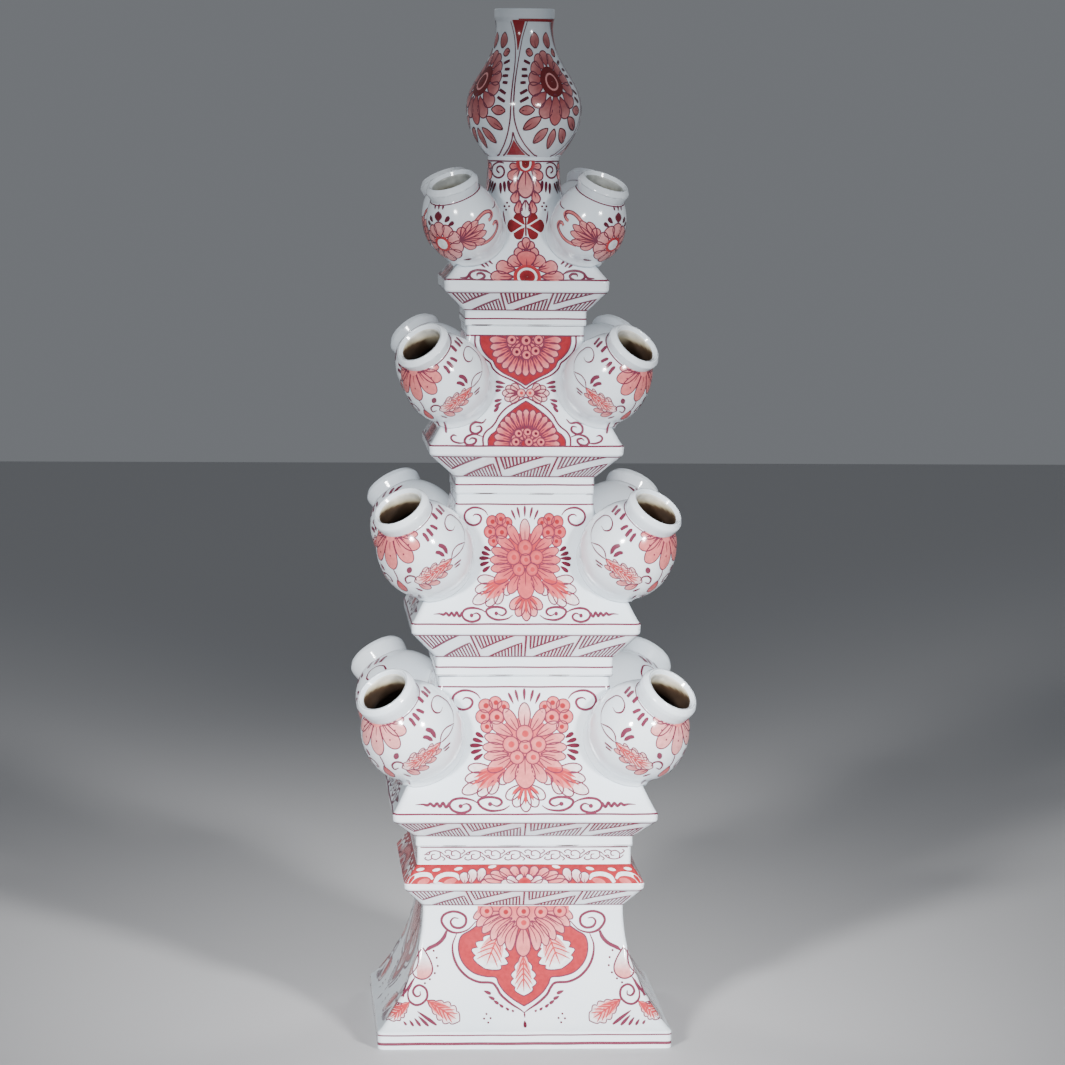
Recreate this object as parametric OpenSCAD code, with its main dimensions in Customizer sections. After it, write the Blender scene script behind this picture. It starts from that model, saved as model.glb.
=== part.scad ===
// Tulipiere: a stacked flower pyramid in painted, glazed earthenware.
// A hollow square plinth carries four square tiers, each a water vessel of its own.
// Every tier has four globe spouts luted onto its corners, and the top tier ends in a bulb vase.
// Lists of four run from the lowest tier to the top one. The front is -Y.

/* [Pottery] */
// Thickness of the tier and plinth walls
wall = 5; // [4:0.5:6]
// Thickness of a tier's floor
floor_t = 5; // [4:0.5:6]
// Thickness of the thrown spouts and of the bulb vase
thrown_wall = 4; // [3:0.5:4.5]
// Edge broken on every lip
lip_edge = 1; // [0.5:0.1:1.5]
// Corner radius of the tier lips, seen from above
lip_corner_r = 4; // [2:0.5:6]

/* [Stacking] */
// Height of the locating ring under a tier
ring_h = 7; // [5:0.5:8]
// Play between a locating ring and the collar that it drops into
ring_gap = 0.8; // [0.5:0.1:1.2]
// Space left under a locating ring in the plinth's socket
socket_gap = 2; // [1:0.5:3]

/* [Plinth] */
// Width across the foot
plinth_foot_w = 176; // [165:1:185]
// Height of the upright foot band
plinth_foot_h = 10.5; // [8:0.5:13]
// Width at the waist, under the cornice
plinth_waist_w = 120.8; // [116:0.2:126]
// Height of the flare from foot band to waist
plinth_flare_h = 71.5; // [60:0.5:80]
// Hollow of the flare, measured from a straight slope
plinth_dish = 7.2; // [4:0.2:9]
// Height of the sloping underside of the cornice
plinth_under_h = 12; // [9:0.5:15]
// Width across the cornice
plinth_lip_w = 144.6; // [138:0.2:150]
// Height of the cornice's upright face
plinth_lip_h = 3.5; // [3:0.5:6]
// Height of the roof above the cornice
plinth_roof_h = 10.8; // [9:0.2:14]
// Width across the collar that carries the lowest tier
plinth_collar_w = 128.6; // [124:0.2:134]
// Height of that collar
plinth_collar_h = 10.7; // [9.5:0.1:13]

/* [Tiers] */
// Width across the foot
foot_w = [130.6, 106.6, 83.4, 73]; // [70:0.2:136]
// Height of the foot band
foot_h = [5.8, 11, 9.9, 8.5]; // [5:0.1:13]
// Height of the sloping underside
under_h = [11.5, 16.5, 15.3, 13.1]; // [10:0.1:19]
// Width across the lip
lip_w = [158.8, 137.4, 116.6, 98.8]; // [94:0.2:166]
// Height of the lip's upright face
lip_h = [4.2, 5.4, 4.7, 6]; // [4:0.1:7]
// Height of the panel above the lip
panel_h = [73.9, 70.2, 65.7, 71.2]; // [62:0.1:78]
// Hollow of the panel, measured from a straight slope
panel_dish = [3, 3, 4.2, 7.4]; // [2:0.1:8]
// Width across the collar, round on the top tier
collar_w = [102.8, 82.4, 70.6, 43]; // [41:0.2:108]
// Height of the collar
collar_h = [6.2, 5.5, 5.4, 2]; // [1.5:0.1:8]
// Radius of the round sweep that turns the top tier's square body into its round shaft
shaft_sweep_r = 65; // [60:1:75]

/* [Spouts] */
// Diameter of the globe
globe_d = [60.6, 57.2, 51.6, 45.2]; // [42:0.2:64]
// Height of the globe's centre above the tier's foot
globe_rise = [70, 76.4, 68.8, 59.8]; // [56:0.1:80]
// How far the globe's centre stands out from the tier's corner edge
globe_out = [13.8, 17, 10.3, 17.3]; // [8:0.1:18]
// Lean of the spout from upright
spout_lean = [43, 40, 46, 26.5]; // [24:0.5:48]
// Distance from the globe's centre to the top of the rim
rim_reach = [38.4, 37, 34.2, 30.8]; // [29:0.1:40]
// Outer diameter of the rim
rim_d = [37.6, 35.8, 34.4, 32.2]; // [31:0.1:39]
// Height of the rim's rounded band
rim_h = [11.6, 9.6, 8, 8.6]; // [7:0.1:13]
// Radius on the rim's edges
rim_edge_r = 2; // [1:0.1:2]
// How far the rim stands out from the neck under it
rim_overhang = 1.3; // [0.8:0.1:2]
// Thickness of the rim from its outside to the mouth
rim_t = [5.1, 4.5, 4.9, 4.3]; // [4.1:0.1:6]
// Diameter of the water passage from globe to tier
passage_d = 18; // [12:0.5:20]

/* [Bulb vase] */
// Height of the belly's widest place above the vase's foot
belly_rise = 29; // [26:0.5:32]
// Diameter of the belly
belly_d = 69.8; // [66:0.2:74]
// Diameter of the vase's foot
vase_foot_d = 43.8; // [43:0.2:46]
// Height of the narrowest place of the neck above the foot
vase_neck_rise = 78; // [74:0.5:82]
// Diameter of the neck there
vase_neck_d = 34; // [33:0.2:36]
// Height of the rolled rim above that place
vase_rim_h = 11; // [9:0.5:13]
// Diameter of the rolled rim
vase_rim_d = 36.8; // [36:0.2:39]
// Diameter of the vase's mouth
vase_mouth_d = 26; // [24:0.2:26.4]

/* [Hidden] */
$fn = 96;

glaze = "aliceblue";
spout_glaze = "lavenderblush";
eps = 0.01;
bezier_steps = 14;

// The four corners of a square tier from its middle: x to the right, y to the back
front_left = [-1, -1];
front_right = [1, -1];
back_left = [-1, 1];
back_right = [1, 1];
function corner_turn(corner) = atan2(corner[1], corner[0]);

// Heights of the seams, from the floor up
plinth_waist_z = plinth_foot_h + plinth_flare_h;
plinth_lip_z = plinth_waist_z + plinth_under_h;
plinth_roof_z = plinth_lip_z + plinth_lip_h;
plinth_collar_z = plinth_roof_z + plinth_roof_h;
plinth_h = plinth_collar_z + plinth_collar_h;
socket_z = plinth_h - ring_h - socket_gap;
tier_h = [for (i = [0:3]) foot_h[i] + under_h[i] + lip_h[i] + panel_h[i] + collar_h[i]];
seam_z = [
  plinth_h,
  plinth_h + tier_h[0],
  plinth_h + tier_h[0] + tier_h[1],
  plinth_h + tier_h[0] + tier_h[1] + tier_h[2]
];
vase_z = seam_z[3] + tier_h[3];
vase_h = vase_neck_rise + vase_rim_h;

// Widths that the locating rings drop into, one for each tier
opening_w = [for (w = [plinth_collar_w, collar_w[0], collar_w[1], collar_w[2]]) w - 2 * wall];

// Heights inside a tier, from its own foot
function lip_z(i) = foot_h[i] + under_h[i];
function panel_z(i) = lip_z(i) + lip_h[i];
function collar_z(i) = panel_z(i) + panel_h[i];

// A dished slope is an arc through (w0 / 2, 0) and (w1 / 2, h), hollowed by dish
function dish_chord(w0, w1, h) = norm([(w0 - w1) / 2, h]);
function dish_r(w0, w1, h, dish) = (pow(dish_chord(w0, w1, h) / 2, 2) + dish * dish) / (2 * dish);
function dish_centre(w0, w1, h, dish) =
  let (normal = [h, (w0 - w1) / 2] / dish_chord(w0, w1, h))
  [(w0 + w1) / 4, h / 2] + normal * (dish_r(w0, w1, h, dish) - dish);
function dish_half(w0, w1, h, dish, z) =
  let (c = dish_centre(w0, w1, h, dish))
  c[0] - sqrt(pow(dish_r(w0, w1, h, dish), 2) - pow(z - c[1], 2));

// Half width of a tier's panel, and the distance of its corner edge from the axis
function panel_w(i) = lip_w[i] - 2 * lip_edge;
function panel_half(i, z) =
  dish_half(panel_w(i), collar_w[i], panel_h[i], panel_dish[i], z - panel_z(i));
function sweep_radius(z) =
  collar_w[3] / 2 + shaft_sweep_r - sqrt(pow(shaft_sweep_r, 2) - pow(collar_z(3) - z, 2));
function corner_edge(i, z) =
  i == 3 ? min(sqrt(2) * panel_half(i, z), sweep_radius(z)) : sqrt(2) * panel_half(i, z);
function globe_reach(i) = corner_edge(i, globe_rise[i]) + globe_out[i];

// Outer diameter of a spout's neck, and diameter of its mouth
function neck_d(i) = rim_d[i] - 2 * rim_overhang;
function mouth_d(i) = rim_d[i] - 2 * rim_t[i];

function bezier(a, b, c, d) = [
  for (k = [0:bezier_steps])
    let (t = k / bezier_steps)
    pow(1 - t, 3) * a + 3 * t * pow(1 - t, 2) * b + 3 * t * t * (1 - t) * c + t * t * t * d
];
function arc(centre, r, from, to, steps = 6) = [
  for (k = [0:steps])
    let (a = from + (to - from) * k / steps)
    centre + r * [cos(a), sin(a)]
];

module rounded_square(w, r) {
  square([w - 2 * r, w], center = true);
  square([w, w - 2 * r], center = true);
  for (x = [-1, 1], y = [-1, 1]) {
    translate([x, y] * (w / 2 - r)) circle(r);
  }
}

module dished_slope(w0, w1, h, dish) {
  difference() {
    polygon([[-w0 / 2, 0], [w0 / 2, 0], [w1 / 2, h], [-w1 / 2, h]]);
    for (side = [0, 1]) {
      mirror([side, 0]) translate(dish_centre(w0, w1, h, dish)) circle(dish_r(w0, w1, h, dish));
    }
  }
}

// The upright band of a lip, with its two edges broken
module lip_band(w, h) {
  x = w / 2;
  e = lip_edge;
  polygon([
    [-x + e, 0], [x - e, 0], [x, e], [x, h - e], [x - e, h], [-x + e, h], [-x, h - e], [-x, e]
  ]);
}

module slope(w0, w1, h) {
  polygon([[-w0 / 2, 0], [w0 / 2, 0], [w1 / 2, h], [-w1 / 2, h]]);
}

// The square solid whose front and side views both are the given outline
module square_body(w) {
  intersection() {
    rotate([90, 0, 0]) linear_extrude(w + 2, center = true) children();
    rotate([90, 0, 90]) linear_extrude(w + 2, center = true) children();
  }
}

module tier_outline(i) {
  translate([-foot_w[i] / 2, 0]) square([foot_w[i], foot_h[i]]);
  translate([0, foot_h[i]]) slope(foot_w[i], panel_w(i), under_h[i]);
  translate([0, lip_z(i)]) lip_band(lip_w[i], lip_h[i]);
  translate([0, panel_z(i)]) dished_slope(panel_w(i), collar_w[i], panel_h[i], panel_dish[i]);
  translate([-collar_w[i] / 2, collar_z(i)]) square([collar_w[i], collar_h[i]]);
}

// The inside of a tier, open at the collar
module tier_inside(i) {
  inner_lip_w = lip_w[i] - 2.8 * wall;
  translate([-foot_w[i] / 2 + wall, floor_t]) square([foot_w[i] - 2 * wall, foot_h[i]]);
  translate([0, foot_h[i] + floor_t])
    slope(foot_w[i] - 2 * wall, inner_lip_w, panel_z(i) - foot_h[i] - floor_t);
  translate([0, panel_z(i)])
    dished_slope(inner_lip_w, collar_w[i] - 2 * wall, panel_h[i], panel_dish[i]);
  translate([-collar_w[i] / 2 + wall, collar_z(i)])
    square([collar_w[i] - 2 * wall, collar_h[i] + 1]);
}

// The space in which the top tier's body turns round, grown or shrunk by the wall
module shaft_sweep(inset) {
  r = collar_w[3] / 2 - inset;
  top = tier_h[3] + 2;
  rotate_extrude() difference() {
    square([lip_w[3], top]);
    translate([r + shaft_sweep_r, collar_z(3)]) circle(shaft_sweep_r);
    translate([r, collar_z(3)]) square([lip_w[3], top]);
  }
}

module tier_solid(i) {
  intersection() {
    square_body(lip_w[i]) tier_outline(i);
    linear_extrude(tier_h[i] + 1) rounded_square(lip_w[i], lip_corner_r);
    if (i == 3) shaft_sweep(0);
  }
}

module tier_cavity(i) {
  intersection() {
    square_body(lip_w[i]) tier_inside(i);
    if (i == 3) shaft_sweep(wall);
  }
}

module locating_ring(i) {
  outer = opening_w[i] - 2 * ring_gap;
  translate([0, 0, -ring_h]) linear_extrude(ring_h + eps) difference() {
    square(outer, center = true);
    square(outer - 2 * wall, center = true);
  }
}

// A hole from the globe's centre through the tier's corner
module water_passage(i, corner) {
  rotate(corner_turn(corner)) translate([globe_reach(i), 0, globe_rise[i]]) rotate([0, -90, 0])
    cylinder(h = globe_out[i] + passage_d / 2 + 3 * wall, d = passage_d);
}

module tier(i) {
  color(glaze) translate([0, 0, seam_z[i]]) {
    difference() {
      tier_solid(i);
      tier_cavity(i);
      for (corner = [front_left, front_right, back_left, back_right]) {
        water_passage(i, corner);
      }
    }
    locating_ring(i);
  }
}

// Neck and rolled rim, filled to the axis; the neck runs down inside the globe
module spout_neck(i) {
  rim = rim_d[i] / 2;
  neck = neck_d(i) / 2;
  top = rim_reach[i];
  low = top - rim_h[i];
  e = rim_edge_r;
  meet = globe_d[i] / 2 - thrown_wall / 2;
  spread = acos(meet / norm([neck, max(low, meet)])) + atan2(neck, low) + 6;
  rotate_extrude() polygon(concat(
    [[0, 0], meet * [sin(spread), cos(spread)], [neck, low]],
    arc([rim - e, low + e], e, -60, 0),
    arc([rim - e, top - e], e, 0, 90),
    [[0, top]]
  ));
}

module spout_shell(i) {
  difference() {
    union() {
      sphere(d = globe_d[i]);
      spout_neck(i);
    }
    sphere(d = globe_d[i] - 2 * thrown_wall);
    cylinder(h = rim_reach[i] + 1, d = mouth_d(i));
    translate([0, 0, rim_reach[i] - rim_edge_r + eps])
      cylinder(h = rim_edge_r, d1 = mouth_d(i), d2 = mouth_d(i) + 2 * rim_edge_r);
  }
}

module spout(i, corner) {
  color(spout_glaze) translate([0, 0, seam_z[i]]) difference() {
    rotate(corner_turn(corner)) translate([globe_reach(i), 0, globe_rise[i]]) rotate([0, spout_lean[i], 0])
      spout_shell(i);
    tier_solid(i);
  }
}

module plinth_outline() {
  translate([-plinth_foot_w / 2, 0]) square([plinth_foot_w, plinth_foot_h]);
  translate([0, plinth_foot_h])
    dished_slope(plinth_foot_w - 2 * lip_edge, plinth_waist_w, plinth_flare_h, plinth_dish);
  translate([0, plinth_waist_z])
    slope(plinth_waist_w, plinth_lip_w - 2 * lip_edge, plinth_under_h);
  translate([0, plinth_lip_z]) lip_band(plinth_lip_w, plinth_lip_h);
  translate([0, plinth_roof_z])
    slope(plinth_lip_w - 2 * lip_edge, plinth_collar_w, plinth_roof_h);
  translate([-plinth_collar_w / 2, plinth_collar_z]) square([plinth_collar_w, plinth_collar_h]);
}

// The hollow under the plinth, up to the deck that closes it
module plinth_hollow() {
  inner_waist_w = plinth_waist_w - 2 * wall;
  translate([-plinth_foot_w / 2 + wall, -1]) square([plinth_foot_w - 2 * wall, plinth_foot_h + 1]);
  translate([0, plinth_foot_h])
    dished_slope(plinth_foot_w - 2 * wall, inner_waist_w, plinth_flare_h, plinth_dish);
  translate([-inner_waist_w / 2, plinth_waist_z])
    square([inner_waist_w, socket_z - floor_t - plinth_waist_z]);
}

module plinth() {
  color(glaze) difference() {
    intersection() {
      square_body(plinth_foot_w) plinth_outline();
      linear_extrude(plinth_h + 1) rounded_square(plinth_foot_w, lip_corner_r);
    }
    square_body(plinth_foot_w) plinth_hollow();
    translate([-opening_w[0] / 2, -opening_w[0] / 2, socket_z])
      cube([opening_w[0], opening_w[0], ring_h + socket_gap + 1]);
  }
}

function vase_wall_line(inset) =
  let (
    foot = [vase_foot_d / 2 - inset, 0],
    belly = [belly_d / 2 - inset, belly_rise],
    neck = [vase_neck_d / 2 - inset, vase_neck_rise],
    rise = vase_neck_rise - belly_rise
  )
  concat(
    bezier(foot, foot + [8, 0.31 * belly_rise], belly - [0, 0.38 * belly_rise], belly),
    bezier(belly, belly + [0, 0.37 * rise], neck - [-0.4, 0.49 * rise], neck)
  );

module bulb_vase() {
  rim = vase_rim_d / 2;
  e = rim_edge_r;
  color(spout_glaze) translate([0, 0, vase_z]) difference() {
    rotate_extrude() polygon(concat(
      [[0, 0]],
      vase_wall_line(0),
      [[rim, vase_neck_rise + vase_rim_h / 2]],
      arc([rim - e, vase_h - e], e, 0, 90),
      [[0, vase_h]]
    ));
    rotate_extrude() polygon(concat([[0, -1], [vase_foot_d / 2 - thrown_wall - 1, -1]],
      [for (p = vase_wall_line(thrown_wall)) if (p[0] > vase_mouth_d / 2 && p[1] > 0) p],
      [[0, vase_neck_rise]]));
    cylinder(h = vase_h + 1, d = vase_mouth_d);
    translate([0, 0, vase_h - e + eps]) cylinder(h = e, d1 = vase_mouth_d, d2 = vase_mouth_d + 2 * e);
  }
}

plinth();
tier(0);  // tier_1
tier(1);  // tier_2
tier(2);  // tier_3
tier(3);  // tier_4
spout(0, front_left);  // spout_1_front_left
spout(0, front_right);  // spout_1_front_right
spout(0, back_left);  // spout_1_back_left
spout(0, back_right);  // spout_1_back_right
spout(1, front_left);  // spout_2_front_left
spout(1, front_right);  // spout_2_front_right
spout(1, back_left);  // spout_2_back_left
spout(1, back_right);  // spout_2_back_right
spout(2, front_left);  // spout_3_front_left
spout(2, front_right);  // spout_3_front_right
spout(2, back_left);  // spout_3_back_left
spout(2, back_right);  // spout_3_back_right
spout(3, front_left);  // spout_4_front_left
spout(3, front_right);  // spout_4_front_right
spout(3, back_left);  // spout_4_back_left
spout(3, back_right);  // spout_4_back_right
bulb_vase();
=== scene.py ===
import math

import bpy
import numpy as np
from mathutils import Matrix, Vector


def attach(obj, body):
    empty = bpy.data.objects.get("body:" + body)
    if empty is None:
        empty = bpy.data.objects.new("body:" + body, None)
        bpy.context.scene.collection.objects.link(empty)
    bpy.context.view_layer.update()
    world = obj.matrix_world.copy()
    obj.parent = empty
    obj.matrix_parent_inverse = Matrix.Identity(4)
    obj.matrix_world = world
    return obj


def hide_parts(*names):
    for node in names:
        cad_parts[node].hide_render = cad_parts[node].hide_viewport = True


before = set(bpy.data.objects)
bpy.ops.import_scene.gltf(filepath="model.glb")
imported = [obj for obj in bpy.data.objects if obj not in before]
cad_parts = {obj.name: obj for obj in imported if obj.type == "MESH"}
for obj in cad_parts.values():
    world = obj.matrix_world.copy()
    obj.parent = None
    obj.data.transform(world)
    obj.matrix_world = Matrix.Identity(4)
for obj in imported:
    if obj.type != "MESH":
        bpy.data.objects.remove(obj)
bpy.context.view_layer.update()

# All shapes are worked out in millimetres in the CAD frame and scaled to metres when a mesh is made.
MM = 0.001

# The plinth, from the floor up: half widths and heights as in the CAD model, and the deck that closes its top
PLINTH = dict(foot=(88.0, 10.5), waist=(60.4, 82.0), cornice=(71.9, 94.0), edge=(72.3, 97.3),
              collar=(64.3, 108.3), dish=7.2)
PLINTH_TOP = 119.0
DECK = 110.0

# The four square tiers, from the lowest up: widths and heights as in the CAD model
# A spout has its globe's radius, its centre's rise and reach, its lean, and its rim's top, radius and height
TIERS = [
    dict(foot=(130.6, 5.8), under=11.5, lip=(158.8, 4.2), panel=73.9, dish=3.0, collar=(102.8, 6.2),
         globe=30.3, rise=70.0, reach=95.61, lean=43.0, rim=(38.4, 18.8, 11.6), mouth=13.7),
    dict(foot=(106.6, 11.0), under=16.5, lip=(137.4, 5.4), panel=70.2, dish=3.0, collar=(82.4, 5.5),
         globe=28.6, rise=76.4, reach=85.31, lean=40.0, rim=(37.0, 17.9, 9.6), mouth=13.4),
    dict(foot=(83.4, 9.9), under=15.3, lip=(116.6, 4.7), panel=65.7, dish=4.2, collar=(70.6, 5.4),
         globe=25.8, rise=68.8, reach=66.96, lean=46.0, rim=(34.2, 17.2, 8.0), mouth=12.3),
    dict(foot=(73.0, 8.5), under=13.1, lip=(98.8, 6.0), panel=71.2, dish=7.4, collar=(43.0, 2.0),
         globe=22.6, rise=59.8, reach=51.8, lean=26.5, rim=(30.8, 16.1, 8.6), mouth=11.8),
]

# Each tier stands in the collar below it, and the bulb vase on the top tier's shaft
seam, socket = PLINTH_TOP, 2 * PLINTH["collar"][0]
for t in TIERS:
    heights = [seam, t["foot"][1], t["under"], t["lip"][1], t["panel"], t["collar"][1]]
    t.update(levels=np.cumsum(heights), socket=socket)
    seam, socket = t["levels"][-1], t["collar"][0]

CORNERS = {"front_left": 225.0, "front_right": 315.0, "back_left": 135.0, "back_right": 45.0}
SIDES = range(4)

# Radius of the sweep by which the top tier's corners run into its round shaft
SHAFT_SWEEP = 65.0

# Walls of pressed and of thrown pieces, the ring under a tier, and the radius of the hole in a globe's back
WALL = 5.0
THROWN_WALL = 4.0
RING_H = 7.0
RING_GAP = 0.8
BACK_HOLE = 8.0

# A rim's overhang beyond its neck, and how deep in the tier a fillet's edge and the globe's own skin are
OVERHANG = 1.3
TUCKED, SUNK = 1.5, 2.5

# Corner radii of the plinth, as (height, radius), and of a tier, from its seam to its collar
PLINTH_CORNERS = ((0, 4.0), (10, 3.5), (82, 2.4), (94, 3.6), (98, 3.6), (108, 2.4))
TIER_CORNERS = (2.6, 2.8, 4.0, 4.0, 2.6)

# How far a skin runs in under its foot and over its top edge, and the bevels of rings and inner edges
FOOT_IN, TOP_IN = 1.2, 1.5
RING_BEVEL, TOP_BEVEL = 0.6, 0.8

# The bulb vase: the height of its foot, its neck's height above the foot and in the stack, its bore's radius
VASE_Z = seam
VASE_NECK = 78.0
NECK_Z = VASE_Z + VASE_NECK
VASE_BORE = 13.0

# Rounded edges of an outline: the most of a side that one takes, and how far its guard points stand off
EASE_SHARE = 0.42
GUARD, GUARD_SHARE = 0.3, 0.2

# Distance over which slopes are taken
STEP = 0.2

# Width of the slip fillet round a spout: full below and at the sides, slight where the globe faces up
FILLET_FACING, FILLET_WIDTH = (-0.1, 0.55), (9.0, 3.0)

# Painted shade inside the spouts: colours at depths below the rim; the top tier's is darker and starts lower
SHADE_DEPTHS = (0, 3.2, 4.8, 7.5)
SHADE_COLOURS = ((0.64, 0.63, 0.57), (0.45, 0.4, 0.28), (0.06, 0.036, 0.02), (0.028, 0.017, 0.011))
TOP_SHADE_TINT, TOP_SHADE_DROP = (0.6, 0.64, 0.68), 4.5

# The photograph's camera, in degrees and metres: its place is the one before the turn round the axis
CAMERA = dict(turn=-3.7, tilt=5.83, roll=0.5, place=(0.0075, -2.638, 0.5713), angle=14.0)

# Lights: name, watts, size, place, aim, spread in degrees, and whether the glaze mirrors it
LIGHTS = (
    ("key_left", 1.71, (0.3, 0.3), (-1.05, -2.2, 0.95), (0, 0, 0.12), 20.8, True),
    ("key_right", 1.62, (0.3, 0.3), (1.05, -2.15, 0.9), (0, 0, 0.12), 20.8, True),
    ("front_low", 1.38, (1.6, 0.6), (0, -2.9, 0.3), (0, 0, 0.02), 22.8, False),
    ("fill", 1.5, (0.8, 0.8), (-1.5, 2.0, 1.3), (0, 0, 0.3), 40, False),
    ("fill", 1.5, (0.8, 0.8), (1.5, 2.0, 1.3), (0, 0, 0.3), 40, False),
)
FLOOR_HALF = 4.0
FLOOR_COLOUR, FLOOR_ROUGH = (0.56, 0.56, 0.57, 1), 0.7
WORLD_COLOUR, WORLD_STRENGTH = (0.76, 0.80, 0.86, 1), 0.22


def dished(h0, z0, h1, z1, dish, steps=26):
    """Points of a hollow slope: an arc from (h0, z0) to (h1, z1), hollowed by dish."""
    chord = math.hypot(h1 - h0, z1 - z0)
    r = (chord * chord / 4 + dish * dish) / (2 * dish)
    nx, nz = (z1 - z0) / chord, (h0 - h1) / chord
    cx, cz = (h0 + h1) / 2 + nx * (r - dish), (z0 + z1) / 2 + nz * (r - dish)
    a0, a1 = (math.atan2(z - cz, h - cx) % (2 * math.pi) for h, z in ((h0, z0), (h1, z1)))
    return [(cx + r * math.cos(a), cz + r * math.sin(a)) for a in np.linspace(a0, a1, steps)]


def hollow(*ends_and_dish):
    """The inner points of a hollow slope, as key points that need no rounding."""
    return [(h, z, 0) for h, z in dished(*ends_and_dish)[1:-1]]


def eased(keys, steps=6):
    """Rounds each key point (half width, height, radius) of an outline, with a guard point each side."""
    out = []
    for i, (h, z, r) in enumerate(keys):
        if r == 0 or i in (0, len(keys) - 1):
            out.append((h, z))
            continue
        b = np.array([h, z])
        u, v = np.array(keys[i - 1][:2]) - b, np.array(keys[i + 1][:2]) - b
        lu, lv = np.linalg.norm(u), np.linalg.norm(v)
        u, v = u / lu, v / lv
        half = math.acos(np.clip(u @ v, -1, 1)) / 2
        t = min(r / math.tan(half), EASE_SHARE * lu, EASE_SHARE * lv)
        centre = b + (u + v) / np.linalg.norm(u + v) * t / math.cos(half)
        radius = t * math.tan(half)
        start, end = b + u * t, b + v * t
        a0 = math.atan2(*(start - centre)[::-1])
        turn = (math.atan2(*(end - centre)[::-1]) - a0 + math.pi) % (2 * math.pi) - math.pi
        out.append(start + u * min(GUARD, GUARD_SHARE * lu))
        for a in a0 + turn * np.arange(steps + 1) / steps:
            out.append(centre + radius * np.array([math.cos(a), math.sin(a)]))
        out.append(end + v * min(GUARD, GUARD_SHARE * lv))
    return np.array(out)


def refined(line, longest=3.5):
    """Adds points on straight stretches, so that none is longer than the given length."""
    out = [line[:1]]
    for a, b in zip(line[:-1], line[1:]):
        n = max(1, math.ceil(np.linalg.norm(b - a) / longest))
        out.append(a + (b - a) * (np.arange(1, n + 1) / n)[:, None])
    return np.concatenate(out)


def sway(p):
    """The slight unevenness of hand-pressed clay, in mm, at points p."""
    x, y, z = p.T
    return 0.16 * (np.sin(0.071 * x + 0.043 * z + 1.0) * np.sin(0.063 * y - 0.038 * z + 0.4)
                   + 0.6 * np.sin(0.118 * z + 0.05 * x + 2.0) * np.cos(0.09 * y + 0.6)
                   + 0.3 * np.sin(0.21 * x + 0.7) * np.sin(0.19 * z) * np.cos(0.2 * y))


def turned(p, degrees):
    """Points p turned round the upright axis."""
    c, s = math.cos(math.radians(degrees)), math.sin(math.radians(degrees))
    return np.stack([p[:, 0] * c - p[:, 1] * s, p[:, 0] * s + p[:, 1] * c, p[:, 2]], 1)


def gradient(field, p, step):
    """Unit directions in which a field rises fastest at points p, by differences."""
    g = np.stack([field(p + e) - field(p - e) for e in step * np.eye(3)], 1)
    return g / np.linalg.norm(g, axis=1)[:, None]


def halved(before, low, high):
    """Places between low and high up to which a test holds, by halving."""
    for _ in range(30):
        middle = (low + high) / 2
        holds = before(middle)
        low, high = np.where(holds, middle, low), np.where(holds, high, middle)
    return (low + high) / 2


def between(at, places, colours):
    """Colours read off at points between given places."""
    return np.stack([np.interp(at, places, channel) for channel in np.transpose(colours)], 1)


class Square:
    """A square piece of the stack: its outer half width and corner radius as functions of height."""

    def __init__(self, keys, corner):
        self.rows = refined(eased(keys))
        self.h, self.z = self.rows.T
        self.corner_of = corner

    def half(self, z):
        return np.interp(z, self.z, self.h)

    def slope(self, z):
        return (self.half(z + STEP) - self.half(z - STEP)) / (2 * STEP)

    def plan(self, half, corner, s):
        """Place and direction on the outline seen from above, at a distance s from the middle of a side."""
        flat = half - corner
        a = np.clip((np.abs(s) - flat) / corner, 0, math.pi / 2)
        x = np.sign(s) * (np.minimum(np.abs(s), flat) + corner * np.sin(a))
        y = -(flat + corner * np.cos(a))
        return x, y, np.sign(s) * np.sin(a), -np.cos(a)

    def at(self, s, z, lift, side):
        """Points on the skin of one side, lift mm out from the surface."""
        half = self.half(z)
        x, y, nx, ny = self.plan(half, self.corner_of(z, half), s)
        nz = -self.slope(z)
        n = np.stack([nx, ny, nz], 1) / np.sqrt(1 + nz * nz)[:, None]
        p = turned(np.stack([x, y, z], 1), 90.0 * side)
        return p + turned(n, 90.0 * side) * (lift + sway(p))[:, None]

    def distance(self, p):
        """Roughly the distance from points p to the skin, negative inside."""
        z = p[:, 2]
        half = self.half(z)
        corner = self.corner_of(z, half)
        q = np.abs(p[:, :2]) - (half - corner)[:, None]
        d = np.linalg.norm(np.maximum(q, 0), axis=1) + np.minimum(q.max(1), 0) - corner
        return d / np.sqrt(1 + self.slope(z) ** 2)


def tier_piece(t):
    """The outer form of a tier; the top one turns round towards its shaft."""
    z0, z1, z2, z3, z4, z5 = levels = t["levels"]
    foot, lip, collar = (t[part][0] / 2 for part in ("foot", "lip", "collar"))
    keys = [(foot - FOOT_IN, z0, 0), (foot, z0, 1.0), (foot, z1, 1.6), (lip - 0.3, z2, 1.5)]
    keys += [(lip, z3 - 0.2, 1.6), *hollow(lip - 0.4, z3, collar, z4, t["dish"])]
    keys += [(collar, z4, 1.0), (collar, z5, 1.1), (collar - TOP_IN, z5, 0)]
    diagonal = math.sqrt(2)

    def corner(z, half):
        r = np.interp(z, levels[:5], TIER_CORNERS)
        if t is TIERS[-1]:
            rise = np.sqrt(np.maximum(SHAFT_SWEEP**2 - np.maximum(z4 - z, 0) ** 2, 0))
            sweep = collar + SHAFT_SWEEP - rise
            r = np.clip((diagonal * half - sweep) / (diagonal - 1), r, 0.95 * half)
        return r
    return Square(keys, corner)


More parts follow.
